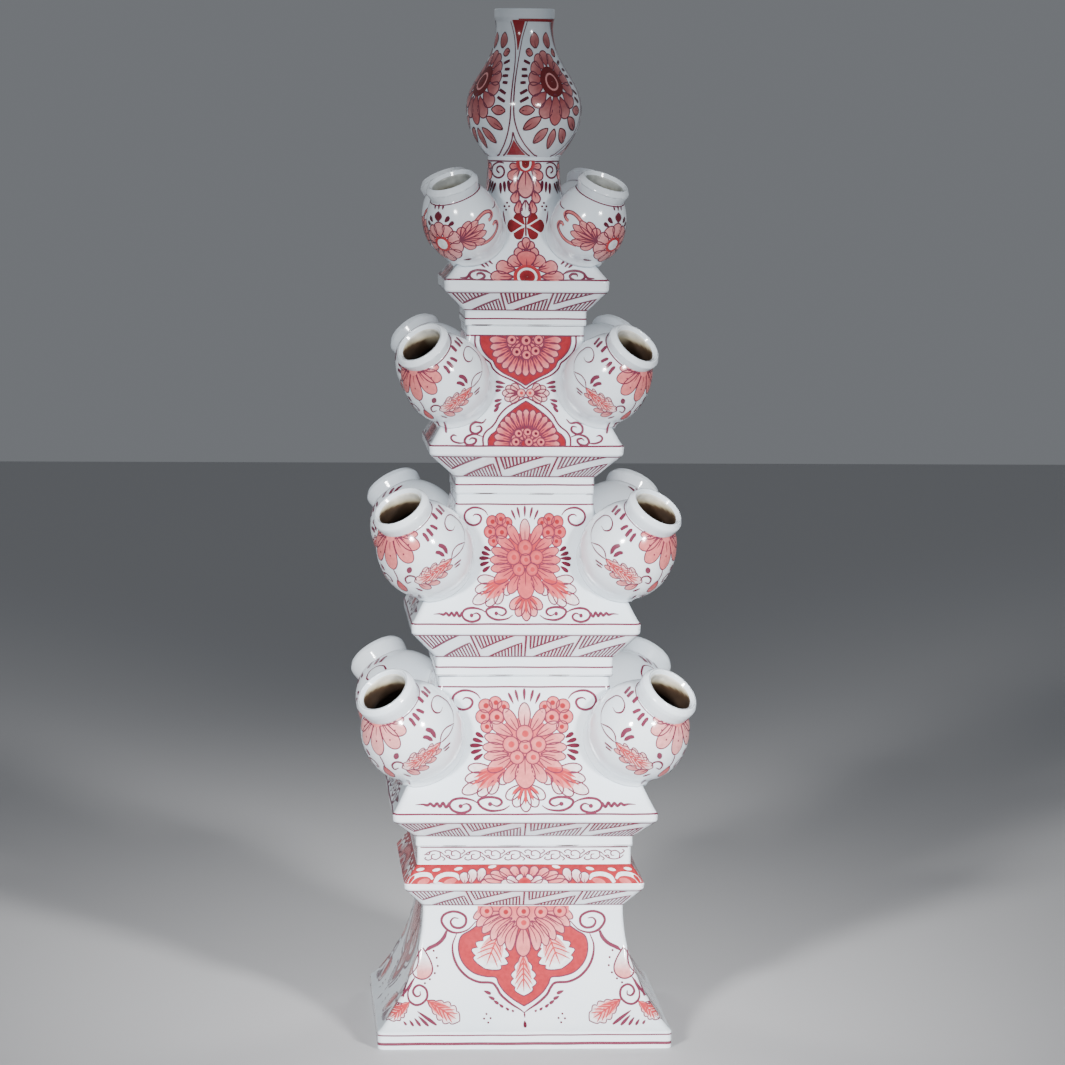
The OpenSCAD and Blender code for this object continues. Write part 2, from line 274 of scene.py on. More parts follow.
def plinth_piece():
    """The outer form of the plinth."""
    foot, foot_top = PLINTH["foot"]
    waist, collar = PLINTH["waist"], PLINTH["collar"]
    keys = [(foot - FOOT_IN, 0, 0), (foot, 0, 1.4), (foot, foot_top, 1.0)]
    keys += hollow(foot - 0.6, foot_top, *waist, PLINTH["dish"])
    keys += [(*waist, 1.6), (*PLINTH["cornice"], 1.4), (*PLINTH["edge"], 1.2), (*collar, 1.2)]
    keys += [(collar[0], PLINTH_TOP, 1.1), (collar[0] - TOP_IN, PLINTH_TOP, 0)]
    heights, radii = zip(*PLINTH_CORNERS)
    return Square(keys, lambda z, half: np.interp(z, heights, radii))


squares = {"plinth": plinth_piece()}
squares.update((f"tier_{i}", tier_piece(t)) for i, t in enumerate(TIERS, 1))


def linked(name, data):
    """A new object in the scene."""
    ob = bpy.data.objects.new(name, data)
    bpy.context.scene.collection.objects.link(ob)
    return ob


def new_object(name, verts, faces, material, body, slot, node=None):
    """Makes a mesh object from millimetre points; it rides on a body and may stand for a CAD node."""
    me = bpy.data.meshes.new(name)
    me.from_pydata((np.asarray(verts) * MM).tolist(), [], faces)
    me.validate()
    me.update()
    me.shade_smooth()
    me.materials.append(material)
    ob = linked(name, me)
    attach(ob, body)
    if node:
        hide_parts(node)
    return ob


def colour_points(me, name, colours):
    """Gives each point of a mesh a colour."""
    colours = np.concatenate([colours, np.ones((len(colours), 1))], 1).astype(np.float32)
    me.color_attributes.new(name, "FLOAT_COLOR", "POINT").data.foreach_set("color", colours.ravel())


def side_steps(half, corner, flats=28, arcs=5):
    """Distances along one side at which the outline is sampled, from one corner's middle to the next."""
    flat, bend = half - corner, corner * math.pi / 4
    k = np.arange(arcs) / arcs
    return np.concatenate([-flat - bend * (1 - k), np.linspace(-flat, flat, flats + 1), flat + bend * k[1:]])


def square_rings(piece, rows):
    """Rings of points around the axis for rows of (half width, height)."""
    rings = []
    for h, z in rows:
        corner = float(np.minimum(piece.corner_of(np.array([z]), np.array([h]))[0], 0.98 * h))
        s = side_steps(h, corner)
        x, y, nx, ny = piece.plan(np.full(len(s), h), np.full(len(s), corner), s)
        flat = np.stack([x, y, np.full(len(s), z)], 1)
        out = np.stack([nx, ny, np.zeros(len(s))], 1)
        flat, out = (np.concatenate([turned(p, 90 * k) for k in SIDES]) for p in (flat, out))
        rings.append(flat + out * sway(flat)[:, None])
    return rings


def lofted(rings, joined=False):
    """Quads between rings of equal length; the two ends are joined, or closed by fans to their centres."""
    n, count = len(rings[0]), len(rings)
    verts = np.concatenate(rings)
    faces = []
    for i in range(count if joined else count - 1):
        a, b = i * n, (i + 1) % count * n
        faces += [(a + k, a + (k + 1) % n, b + (k + 1) % n, b + k) for k in range(n)]
    if not joined:
        verts = np.concatenate([verts, rings[0].mean(0)[None], rings[-1].mean(0)[None]])
        last, centre = (count - 1) * n, count * n
        faces += [(centre, (k + 1) % n, k) for k in range(n)]
        faces += [(centre + 1, last + k, last + (k + 1) % n) for k in range(n)]
    return verts, faces


def build_square(body, low, high):
    """The shell of the plinth or a tier: up from the points below its skin, over it and down inside."""
    piece = squares[body]
    rings = square_rings(piece, [*low, *piece.rows, *high])
    new_object(f"{body}_shell", *lofted(rings), glaze, body, "glazed_body", body)


def build_tier(t, body):
    """A tier, from under its floor round the locating ring, up the skin and down inside to the floor."""
    z0, z1, _, z3, z4, z5 = t["levels"]
    ring = t["socket"] / 2 - WALL - RING_GAP
    ring_in, ring_z, bevel = ring - WALL, z0 - RING_H, RING_BEVEL
    low = [(ring_in - 4, z0 + bevel), (ring_in, z0 + bevel), (ring_in, ring_z + bevel),
           (ring_in + bevel, ring_z), (ring - bevel, ring_z), (ring, ring_z + bevel), (ring, z0)]
    collar, lip, foot = t["collar"][0] / 2 - WALL, t["lip"][0] / 2 - WALL - 2, t["foot"][0] / 2 - WALL
    high = [(collar + TOP_BEVEL, z5), (collar, z5 - TOP_BEVEL)]
    high += dished(lip, z3, collar, z4, t["dish"], 12)[::-1]
    floor = z0 + WALL
    high += [(foot, z1 + WALL), (foot - 1, floor + 0.8), (foot - 3, floor), (foot - 12, floor)]
    build_square(body, low, high)


def build_plinth():
    """The plinth, from under its deck down the hollow, up the skin and down the socket to the deck."""
    foot, waist, collar = (PLINTH[part][0] - WALL for part in ("foot", "waist", "collar"))
    under = DECK - WALL
    low = [(40, under), (waist - 0.4, under), (waist, under - 1)]
    low += dished(foot, PLINTH["foot"][1], waist, PLINTH["waist"][1], PLINTH["dish"], 12)[::-1]
    low += [(foot, 1), (foot + 0.8, 0)]
    high = [(collar + TOP_BEVEL, PLINTH_TOP), (collar, PLINTH_TOP - TOP_BEVEL), (collar, DECK + 1)]
    high += [(collar - 0.8, DECK), (45, DECK)]
    build_square("plinth", low, high)


class Spout:
    """A globe spout on a tier's corner: its own axes, and the blended skin where it is luted on."""

    def __init__(self, i, corner):
        t = TIERS[i]
        self.i, self.corner, self.body = i, corner, f"tier_{i + 1}"
        self.tier = squares[self.body]
        self.r, self.mouth, lean = t["globe"], t["mouth"], math.radians(t["lean"])
        self.rim, self.rim_r, self.rim_h = t["rim"]
        self.neck = self.rim_r - OVERHANG
        a = math.radians(CORNERS[corner])
        out = np.array([math.cos(a), math.sin(a), 0.0])
        up = np.array([0.0, 0.0, 1.0])
        self.centre = out * t["reach"] + up * (t["levels"][0] + t["rise"])
        self.axis = out * math.sin(lean) + up * math.cos(lean)
        self.outer = out * math.cos(lean) - up * math.sin(lean)
        self.across = np.cross(up, out)
        self.tall = (self.rim - self.rim_h) / math.sqrt(1 - (self.neck / self.r) ** 2) / self.r

    def radius(self, d):
        """Radius of the globe along directions d; its upper half is drawn out to meet the rim."""
        c = np.maximum(d @ self.axis, 0)
        return self.r / np.sqrt(1 - c * c + (c / self.tall) ** 2)

    def direction(self, phi, alpha):
        """Unit directions at an angle alpha from the axis; phi is 0 on the outer, lower side."""
        side = np.cos(phi)[:, None] * self.outer + np.sin(phi)[:, None] * self.across
        return np.cos(alpha)[:, None] * self.axis + np.sin(alpha)[:, None] * side

    def blend(self, d):
        """Width of the slip fillet along directions d."""
        return np.interp(d[:, 2], FILLET_FACING, FILLET_WIDTH)

    def field(self, p, k):
        """Distance to the globe and tier run together with a fillet of width k."""
        q = p - self.centre
        q = q - np.maximum(q @ self.axis, 0)[:, None] * self.axis * (1 - 1 / self.tall)
        a, b = np.linalg.norm(q, axis=1) - self.r, self.tier.distance(p)
        w = np.clip(0.5 + 0.5 * (b - a) / k, 0, 1)
        return b * (1 - w) + a * w - k * w * (1 - w)

    def on_skin(self, d, lift):
        """Points lift mm above the blended skin along directions d."""
        k = self.blend(d)

        def inside(far):
            return self.field(self.centre + d * far[:, None], k) < 0
        far = halved(inside, np.full(len(d), 0.5 * self.r), self.radius(d) + k)
        p = self.centre + d * far[:, None]
        return p + gradient(lambda q: self.field(q, k), p, STEP / 2) * (lift + sway(p))[:, None]

    def meeting(self, phi, extra, depth=0.0):
        """The angle from the axis at which the fillet's edge, or the globe, enters the tier by depth."""
        def outside(alpha):
            d = self.direction(phi, alpha)
            far = self.radius(d) + extra * self.blend(d)
            return self.tier.distance(self.centre + d * far[:, None]) > -depth
        return halved(outside, np.full(len(phi), 0.6), np.full(len(phi), 0.98 * math.pi))

    def rim_line(self):
        """The angle of the rim's crease, and the rim's outline as (distance on the axis, radius)."""
        top, low, r, neck, mouth = self.rim, self.rim - self.rim_h, self.rim_r, self.neck, self.mouth
        keys = [(low - 0.5, neck + 0.3, 0), (low, neck, 0.4), (low + 0.9, neck + 0.35, 0.8),
                (low + 0.5 * self.rim_h, r - 0.1, 3.5), (top - 3.0, r, 3.2), (top, r - 2.0, 2.4),
                (top, mouth + 1.6, 1.8), (top - 3.0, mouth, 2.2), (low - 1, mouth, 0)]
        return math.atan2(neck + 0.3, low - 0.5), refined(eased(keys), 1.6)

    def build(self):
        """The shell: rim, globe and fillet, the end in the tier's wall, and the inside up to the bore."""
        n, skin_rings, wall_rings, inside_rings = 80, 36, 8, 18
        phi = np.linspace(0, 2 * math.pi, n, endpoint=False)
        spread, line = self.rim_line()
        side = self.direction(phi, np.full(n, math.pi / 2))
        rings = [self.centre + a * self.axis + r * side for a, r in line[::-1]]
        end = self.meeting(phi, 1.0)
        for k in np.append(np.linspace(0, 1, skin_rings)[1:-1], (0.993, 1.0)):
            rings.append(self.on_skin(self.direction(phi, spread + (end - spread) * k), 0.0))
        rings.append(rings[-1] - gradient(self.tier.distance, rings[-1], STEP) * TUCKED)
        deep = self.meeting(phi, 0.0, SUNK)
        back = math.pi - math.asin(BACK_HOLE / self.r)
        for k in np.linspace(0, 1, wall_rings):
            rings.append(self.centre + self.direction(phi, deep + (back - deep) * k) * self.r)
        inner = self.r - THROWN_WALL
        back, bore = math.pi - math.asin(BACK_HOLE / inner), math.asin(self.mouth / inner)
        for a in np.linspace(back, bore, inside_rings):
            rings.append(self.centre + self.direction(phi, np.full(n, a)) * inner)
        verts, faces = lofted(rings, joined=True)
        node = f"spout_{self.i + 1}_{self.corner}"
        me = new_object(f"{node}_shell", verts, faces, glaze, self.body, "glazed_spout", node).data
        me.materials.append(bare)
        glazed_from = sum(r < self.mouth + 0.3 for _, r in line) * n
        glazed_to = (len(rings) - inside_rings - 1) * n
        for poly in me.polygons:
            poly.material_index = 0 if glazed_from <= poly.vertices[0] < glazed_to else 1
        # Painted shade: the inside's colour darkens with depth below the rim
        level = self.axis + [0, 0, 1]
        depth = (self.centre + self.rim * self.axis - verts) @ level / np.linalg.norm(level)
        colours = np.array(SHADE_COLOURS)
        if TIERS[self.i] is TIERS[-1]:
            colours, depth = colours * TOP_SHADE_TINT, depth - TOP_SHADE_DROP
        colour_points(me, "painted_shade", between(depth, SHADE_DEPTHS, colours))


def bezier(a, b, c, d, steps=24):
    """Points of a cubic curve from a to d."""
    t = np.linspace(0, 1, steps)[:, None]
    a, b, c, d = map(np.array, (a, b, c, d))
    return (1 - t) ** 3 * a + 3 * t * (1 - t) ** 2 * b + 3 * t * t * (1 - t) * c + t**3 * d


class Vase:
    """The round bulb vase: a turned skin that paint can be laid on, as (radius, height above its foot)."""

    def __init__(self):
        low = bezier((21.9, 0), (29.9, 9.0), (34.9, 18.0), (34.9, 29.0))
        high = bezier((34.9, 29.0), (34.9, 47.1), (17.4, 54.0), (17.0, VASE_NECK))
        rim = eased([(17.0, VASE_NECK, 0), (17.2, 81.0, 0.8), (18.3, 83.5, 1.2), (18.4, 88.9, 1.6),
                     (16.8, 89.0, 1.0), (14.2, 89.0, 1.2), (VASE_BORE, 86.5, 1.5), (VASE_BORE, VASE_NECK, 0)])
        self.body = np.concatenate([low, high[1:]])
        self.line = np.concatenate([self.body, rim[1:]])
        self.r, self.z = self.line[: self.line[:, 1].argmax()].T

    def at(self, turn, z, lift):
        """Points on the skin; turn is the angle in degrees from the front, to the right."""
        r, above, below = (np.interp(z - VASE_Z + step, self.z, self.r) for step in (0, STEP, -STEP))
        slope = (above - below) / (2 * STEP)
        a = np.radians(turn)
        n = np.stack([np.sin(a), -np.cos(a), -slope], 1) / np.sqrt(1 + slope**2)[:, None]
        return np.stack([r * np.sin(a), -r * np.cos(a), z], 1) + n * lift

    def build(self):
        """The shell: up the skin, over the rim, down inside, and round under the foot."""
        n = 96
        a = np.linspace(0, 2 * math.pi, n, endpoint=False)
        inside = [(max(r - THROWN_WALL, VASE_BORE), z) for r, z in self.body[-4::-1]]
        rows = [*self.line, *inside, (15.0, -1.0), (20.8, -1.0)]
        rings = [np.stack([r * np.sin(a), -r * np.cos(a), np.full(n, VASE_Z + z)], 1) for r, z in rows]
        verts, faces = lofted(rings, joined=True)
        new_object("bulb_vase_shell", verts, faces, glaze, "tier_4", "glazed_spout", "bulb_vase")


class Shader:
    """A Principled material that is built up from nodes in object space."""

    def __init__(self, name):
        self.material = bpy.data.materials.new(name)
        self.material.use_nodes = True
        self.tree = self.material.node_tree
        self.bsdf = self.tree.nodes["Principled BSDF"]
        self.place = self.tree.nodes.new("ShaderNodeTexCoord").outputs["Object"]

    def fill(self, sockets, values):
        """Gives sockets their values; each may be another socket, a number or a colour of three numbers."""
        for socket, value in zip(sockets, values):
            if isinstance(value, bpy.types.NodeSocket):
                self.tree.links.new(value, socket)
            else:
                socket.default_value = (*value, 1) if isinstance(value, tuple) else value

    def node(self, kind, **inputs):
        """A new node; its inputs are given by name, with _ for a space."""
        node = self.tree.nodes.new("ShaderNode" + kind)
        self.fill([node.inputs[name.replace("_", " ")] for name in inputs], inputs.values())
        return node

    def noise(self, scale, detail=3.0):
        return self.node("TexNoise", Scale=scale, Detail=detail, Vector=self.place).outputs["Fac"]

    def spread(self, value, low, high):
        """Maps the middle of a noise onto a range."""
        node = self.node("MapRange", Value=value, From_Min=0.3, From_Max=0.7, To_Min=low, To_Max=high)
        return node.outputs["Result"]

    def mix(self, kind, factor, a, b):
        """Mixes two colours."""
        node = self.node("MixRGB")
        node.blend_type = kind
        self.fill(node.inputs, (factor, a, b))
        return node.outputs["Color"]

    def washed(self, attribute, scale, detail, low, high):
        """A mesh's own colours, made uneven by a noise."""
        node = self.node("VertexColor")
        node.layer_name = attribute
        shade = self.spread(self.noise(scale, detail), low, high)
        return self.mix("MULTIPLY", 1.0, node.outputs["Color"], shade)

    def finish(self, colour, rough, bump, coat):
        """Colour, a range of roughness over a noise, and a fine unevenness of the surface."""
        uneven = self.node("Bump", Strength=bump, Distance=0.6 * MM, Height=self.noise(70, 2.0))
        inputs = {"Base Color": colour, "Roughness": self.spread(self.noise(90), *rough),
                  "Normal": uneven.outputs["Normal"], "Coat Weight": coat, "Coat Roughness": 0.05}
        self.fill([self.bsdf.inputs[name] for name in inputs], inputs.values())
        return self.material


def glaze_material():
    """White tin glaze, a little blue where it lies thick."""
    m = Shader("tin_glaze")
    colour = m.mix("MIX", m.spread(m.noise(22, 4.0), 0.0, 1.0), (0.69, 0.77, 0.84), (0.76, 0.815, 0.865))
    return m.finish(colour, (0.10, 0.17), 0.16, 0.35)


def pigment_material():
    """Red pigment under the glaze, washed on unevenly; its tones come with the brush work."""
    m = Shader("painted_pigment")
    return m.finish(m.washed("paint", 420, 3.0, 0.78, 1.0), (0.11, 0.19), 0.16, 0.35)


def bare_material():
    """The spouts' insides: thin glaze, with painted shade that darkens deeper below the rim."""
    m = Shader("shaded_inside")
    return m.finish(m.washed("painted_shade", 160, 4.0, 0.72, 1.15), (0.3, 0.5), 0.3, 0.1)


def camera():
    """The photograph's view: a long lens a little to the left, looking slightly down, with a slight roll."""
    turn, tilt, roll = (math.radians(CAMERA[name]) for name in ("turn", "tilt", "roll"))
    round_axis = Matrix.Rotation(turn, 4, "Z")
    data = bpy.data.cameras.new("camera")
    data.angle = math.radians(CAMERA["angle"])
    ob = linked("camera", data)
    ob.matrix_world = (round_axis @ Matrix.Translation(CAMERA["place"])
                       @ Matrix.Rotation(math.pi / 2 - tilt, 4, "X") @ Matrix.Rotation(roll, 4, "Z"))
    bpy.context.scene.camera = ob


def stage():
    """Floor and surroundings."""
    floor = bpy.data.meshes.new("floor")
    w = FLOOR_HALF
    floor.from_pydata([(-w, -w, 0), (w, -w, 0), (w, w, 0), (-w, w, 0)], [], [(0, 1, 2, 3)])
    material = bpy.data.materials.new("floor")
    material.use_nodes = True
    inputs = material.node_tree.nodes["Principled BSDF"].inputs
    inputs["Base Color"].default_value, inputs["Roughness"].default_value = FLOOR_COLOUR, FLOOR_ROUGH
    floor.materials.append(material)
    linked("floor", floor)
    world = bpy.data.worlds.new("studio")
    world.use_nodes = True
    inputs = world.node_tree.nodes["Background"].inputs
    inputs["Color"].default_value, inputs["Strength"].default_value = WORLD_COLOUR, WORLD_STRENGTH
    bpy.context.scene.world = world


def lights():
    """Two keys and a low front light on narrow beams, and fills from behind."""
    for name, energy, size, place, aim, spread, mirrored in LIGHTS:
        data = bpy.data.lights.new(name, "AREA")
        data.energy, data.spread, data.shape = energy, math.radians(spread), "RECTANGLE"
        data.size, data.size_y = size
        ob = linked(name, data)
        ob.location = place
        ob.rotation_euler = (Vector(aim) - Vector(place)).to_track_quat("-Z", "Y").to_euler()
        ob.visible_glossy = mirrored


# Painting: brush work laid just over the glaze, in drawing units of 0.6 mm
UNIT = 0.6

# How much wider the brush comes out than its drawn width
BRUSH = 1.2

# Paint above the glaze: the lowest, each level's rise, and the small steps that keep strokes of a level apart
LIFT, LEVEL_LIFT, STEP_LIFT, LIFT_STEPS = 0.06, 0.03, 0.0022, 12

# seam_shade is painted shade for the seam where a tier sits on the piece below
TONES = {"line": (112, 50, 70), "dark": (92, 30, 48), "red": (182, 60, 66), "coral": (204, 90, 93),
         "rose": (215, 120, 119), "pink": (226, 154, 153), "pale": (234, 202, 203), "white": (229, 234, 238),
         "ground": (166, 50, 57), "deep": (150, 40, 48), "maroon": (108, 27, 31), "mauve": (178, 104, 106),
         "seam_shade": (92, 78, 78)}

# Each drawing's part of its body's colour map: left, bottom, right and top
TILES = {"panel": (0.01, 0.5, 0.99, 0.99), "under": (0.01, 0.41, 0.99, 0.49),
         "roof": (0.01, 0.3, 0.99, 0.37), "frieze": (0.01, 0.22, 0.99, 0.28),
         "spout": (0.01, 0.05, 0.5, 0.36), "collar": (0.52, 0.05, 0.99, 0.07),
         "bulb": (0.52, 0.08, 0.99, 0.36), "hoop": (0.0, 0.0, 1.0, 0.01)}

# A length too small to matter, which keeps divisions safe
TINY = 1e-9


def tone(name):
    """A tone as linear colour."""
    c = np.array(TONES[name]) / 255
    return np.where(c < 0.04045, c / 12.92, ((c + 0.055) / 1.055) ** 2.4)


def curve(points, per=6):
    """A smooth line through points."""
    p = np.array(points, float)
    p = np.concatenate([[2 * p[0] - p[1]], p, [2 * p[-1] - p[-2]]])
    t = np.linspace(0, 1, per, endpoint=False)[:, None]
    out = [0.5 * (2 * b + (c - a) * t + (2 * a - 5 * b + 4 * c - d) * t**2 + (3 * b - a - 3 * c + d) * t**3)
           for a, b, c, d in zip(p, p[1:], p[2:], p[3:])]
    return np.concatenate(out + [p[-2:-1]])


def square_to(a, b):
    """The unit direction square to the way from a to b."""
    return np.array([a[1] - b[1], b[0] - a[0]]) / (np.linalg.norm(b - a) + TINY)


class Drawing:
    """Brush strokes on a sheet: x to the right of the middle, y downwards, each at a level above the glaze.

    Tones are words from TONES that run from a shape's base to its tip, or from its middle outwards.
    While both is set, each stroke is drawn a second time, mirrored."""

    def __init__(self):
        self.items = []
        self.both = False

    def sheet(self, level, rows, tones):
        """A patch from rows of points of equal length; tones run from the first row to the last."""
        rows = np.array(rows, float)
        n, m = rows.shape[:2]
        colours = [tone(word) for word in tones.split()]
        colours = between(np.linspace(0, len(colours) - 1, n), range(len(colours)), colours)
        colours = np.repeat(colours, m, 0)
        points = rows.reshape(-1, 2)
        faces = [(k, k + m, k + m + 1, k + 1) for i in range(n - 1) for k in range(i * m, i * m + m - 1)]
        self.items.append((level, points, faces, colours))
        if self.both:
            self.items.append((level, points * [-1, 1], [face[::-1] for face in faces], colours))

    def brush(self, p, width, level, ink, ends, closed=False):
        """A brush line along points; ends give the share of the width left at its two ends."""
        g = np.gradient(p, axis=0)
        if closed:
            g[0] = g[-1] = p[1] - p[-2]
        n = np.stack([-g[:, 1], g[:, 0]], 1) / (np.linalg.norm(g, axis=1)[:, None] + TINY)
        t = np.linspace(0, 1, len(p))
        w = np.minimum(ends[0] + t * 5 * (1 - ends[0]), ends[1] + (1 - t) * 5 * (1 - ends[1]))
        w = (BRUSH * width / 2 * np.minimum(1, w))[:, None]
        self.sheet(level, np.stack([p + n * w, p - n * w], 1), ink)

    def stroke(self, points, width=1.0, level=5, ink="line", ends=(0.35, 0.35)):
        """A smooth brush line through points."""
        self.brush(curve(points), width, level, ink, ends)

    def trace(self, points, width=1.0, level=5, ink="line", ends=(1, 1), closed=False):
        """A brush line straight from point to point."""
        self.brush(refined(np.array(points, float), 4.0), width, level, ink, ends, closed)

    def dash(self, x0, y0, x1, y1, width=2.2, ink="line"):
        """A single pressed touch of the brush, fuller towards its second end."""
        a, b = np.array([x0, y0]), np.array([x1, y1])
        n = square_to(a, b)
        t = (0.5 - 0.5 * np.cos(np.pi * np.linspace(0, 1, 10)))[:, None]
        w = 0.7 * width * (np.sin(np.pi * np.clip(0.06 + 0.9 * t, 0, 1) ** 1.5)) ** 0.5
        p = a + (b - a) * t
        self.sheet(5, np.stack([p + n * w, p, p - n * w], 1), ink)

    def dashes(self, rows, **how):
        for row in rows:
            self.dash(*row, **how)

    def disc(self, x, y, r, level, tones, squash=1.0):
        """A round or flattened spot."""
        a = np.linspace(0, 2 * np.pi, 19)
        edge = r * np.stack([np.cos(a), squash * np.sin(a)], 1)
        self.sheet(level, [edge * k + [x, y] for k in (0.02, 0.4, 0.75, 1)], tones)

    def dots(self, places):
        for x, y in places:
            self.disc(x, y, 1.1, 5, "dark")

    def ring(self, x, y, r, width, level, ink="line", squash=1.0):
        a = np.linspace(0, 2 * np.pi, 25)
        points = np.stack([x + r * np.cos(a), y + r * squash * np.sin(a)], 1)
        self.trace(points, width, level, ink, closed=True)

    def berry(self, x, y, r, level, eye="red", edge="coral", core="rose"):
        """A round fruit with an eye a little off its middle."""
        self.disc(x, y, r, level, f"{core} {core} {edge}")
        self.ring(x, y, r, 0.9, level + 1)
        self.disc(x + 0.08 * r, y, 0.42 * r, level + 1, f"{eye} {eye} {eye} coral")

    def berries(self, rows, *how):
        for row in rows:
            self.berry(*row, *how)

    def petal(self, x0, y0, x1, y1, width, level, tones, ink="line", vein=0.6, lobes=0, full=1.35, line=1.0,
              tip=0.5, bend=0.0):
        """A petal or leaf from its base to its tip; lobes scallop its edge, and bend bows it sideways."""
        a, b = np.array([x0, y0], float), np.array([x1, y1], float)
        n = square_to(a, b)

        def spine(t):
            return a + (b - a) * t + n * bend * 4 * t * (1 - t)
        t = np.linspace(0, 1, 6 * lobes + 1 if lobes else 13)[:, None]
        t = t if lobes else 0.5 - 0.5 * np.cos(np.pi * t)
        w = width / 2 * np.maximum(np.sin(np.pi * np.clip(t, 0.004, 0.999) ** full), 0) ** tip
        if lobes:
            w = w * (0.8 + 0.26 * np.abs(np.sin(np.pi * lobes * t)))
        p = spine(t)
        self.sheet(level, np.stack([p + n * w * k for k in (1, 0.5, 0, -0.5, -1)], 1), tones)
        if ink:
            edge = np.concatenate([p + n * w, (p - n * w)[::-1]])
            self.trace(edge if lobes else curve(edge, 2), line, level + 1, ink)
        if vein:
            s = vein * np.linspace(0, 1, 5 if bend else 2)[:, None]
            self.trace(spine(s), 0.8, level + 1, ink, (1, 0.2))

    def petals(self, rows, level, tones, *how, **more):
        """Petals alike, each row a base, a tip and a width."""
        for row in rows:
            self.petal(*row, level, tones, *how, **more)

    def fan(self, x, y, rx, ry, a0, a1, n, inner, width, level, tones, vein=0.55):
        """Petals spread round a centre between two angles in degrees, 0 to the right and 90 downwards."""
        for a in np.radians(np.linspace(a0, a1, n)):
            c, s = rx * math.cos(a), ry * math.sin(a)
            self.petal(x + inner * c, y + inner * s, x + c, y + s, width, level, tones, vein=vein, full=1.9)

    def leaf(self, x0, y0, x1, y1, width, lobes, tones, ground="white", full=1.35, tip=0.7, level=1):
        """A feathered leaf: scalloped edge, midrib and slanting veins washed with colour."""
        self.petal(x0, y0, x1, y1, width, level, ground, "line", 0, lobes, full, tip=tip)
        a, b = np.array([x0, y0], float), np.array([x1, y1], float)
        d, n = b - a, square_to(a, b) * width / 2
        self.petal(x0, y0, *(a + d * 0.86), width * 0.62, level + 1, tones, None, 0, full=full)
        for k in range(lobes):
            t = 0.1 + 0.62 * k / lobes
            reach = 0.95 * math.sin(math.pi * min(0.98, t + 0.2) ** full)
            for side in (n * reach, -n * reach):
                vein = [a + d * t, a + d * (t + 0.12) + side * 0.38, a + d * (t + 0.27) + side * 0.76]
                self.stroke(vein, 1.1, level + 2, "red", (1, 0.25))
        self.trace([a, a + d * 0.9], 1.2, level + 2, "red", (1, 0.3))

    def ground(self, inner, tones):
        """A coloured ground from a line to the drawing's middle, with a thin edge."""
        self.stroke(inner, 1.2, 1, ends=(1, 1))
        edge = curve(inner, 4)
        self.sheet(0, np.stack([edge * [1 - k, 1] for k in np.linspace(0, 1, 5)], 1), tones)


paint = {}


def lay(body, drawing, places, tile, extent):
    """Lays a drawing on a body at several places; tile and extent place it in the body's colour map."""
    store = paint.setdefault(body, [])
    (u0, v0, u1, v1), (x0, y0, x1, y1) = TILES[tile], extent
    for k, (level, points, faces, colours) in enumerate(drawing.items):
        u = u0 + (u1 - u0) * (points[:, 0] - x0) / (x1 - x0)
        v = v0 + (v1 - v0) * (y1 - points[:, 1]) / (y1 - y0)
        lift = LIFT + LEVEL_LIFT * level + STEP_LIFT * (k % LIFT_STEPS)
        for place in places:
            store.append((level, place(points, lift), faces, colours, np.stack([u, v], 1)))


def build_paint(body):
    """One mesh for all the brush work on a body, lowest levels first."""
    _, points, patches, colours, uvs = zip(*sorted(paint[body], key=lambda item: item[0]))
    starts = np.cumsum([0] + [len(p) for p in points]).tolist()
    faces = [[k + start for k in face] for start, patch in zip(starts, patches) for face in patch]
    me = new_object(f"{body}_painting", np.concatenate(points), faces, pigment, body, "glazed_body").data
    colour_points(me, "paint", np.concatenate(colours))
    loops = np.empty(len(me.loops), np.int32)
    me.loops.foreach_get("vertex_index", loops)
    layer = me.uv_layers.new(name="OFBake")
    layer.data.foreach_set("uv", np.concatenate(uvs)[loops].astype(np.float32).ravel())


def face_place(piece, side, heights, half_ref, stretch):
    """Places drawing points on one side of a square piece."""
    ys, zs = np.array(heights, float).T

    def place(points, lift):
        z = np.interp(points[:, 1], ys, zs)
        s = points[:, 0] * UNIT * stretch
        if half_ref:
            s = s * piece.half(z) / half_ref
        return piece.at(s, z, lift, side)
    return place


def lay_sides(body, drawing, heights, tile, extent, half_ref=None, stretch=1.0, sides=SIDES):
    """Lays a drawing on the sides of a square piece; heights pairs drawing y with height."""
    places = [face_place(squares[body], side, heights, half_ref, stretch) for side in sides]
    lay(body, drawing, places, tile, extent)


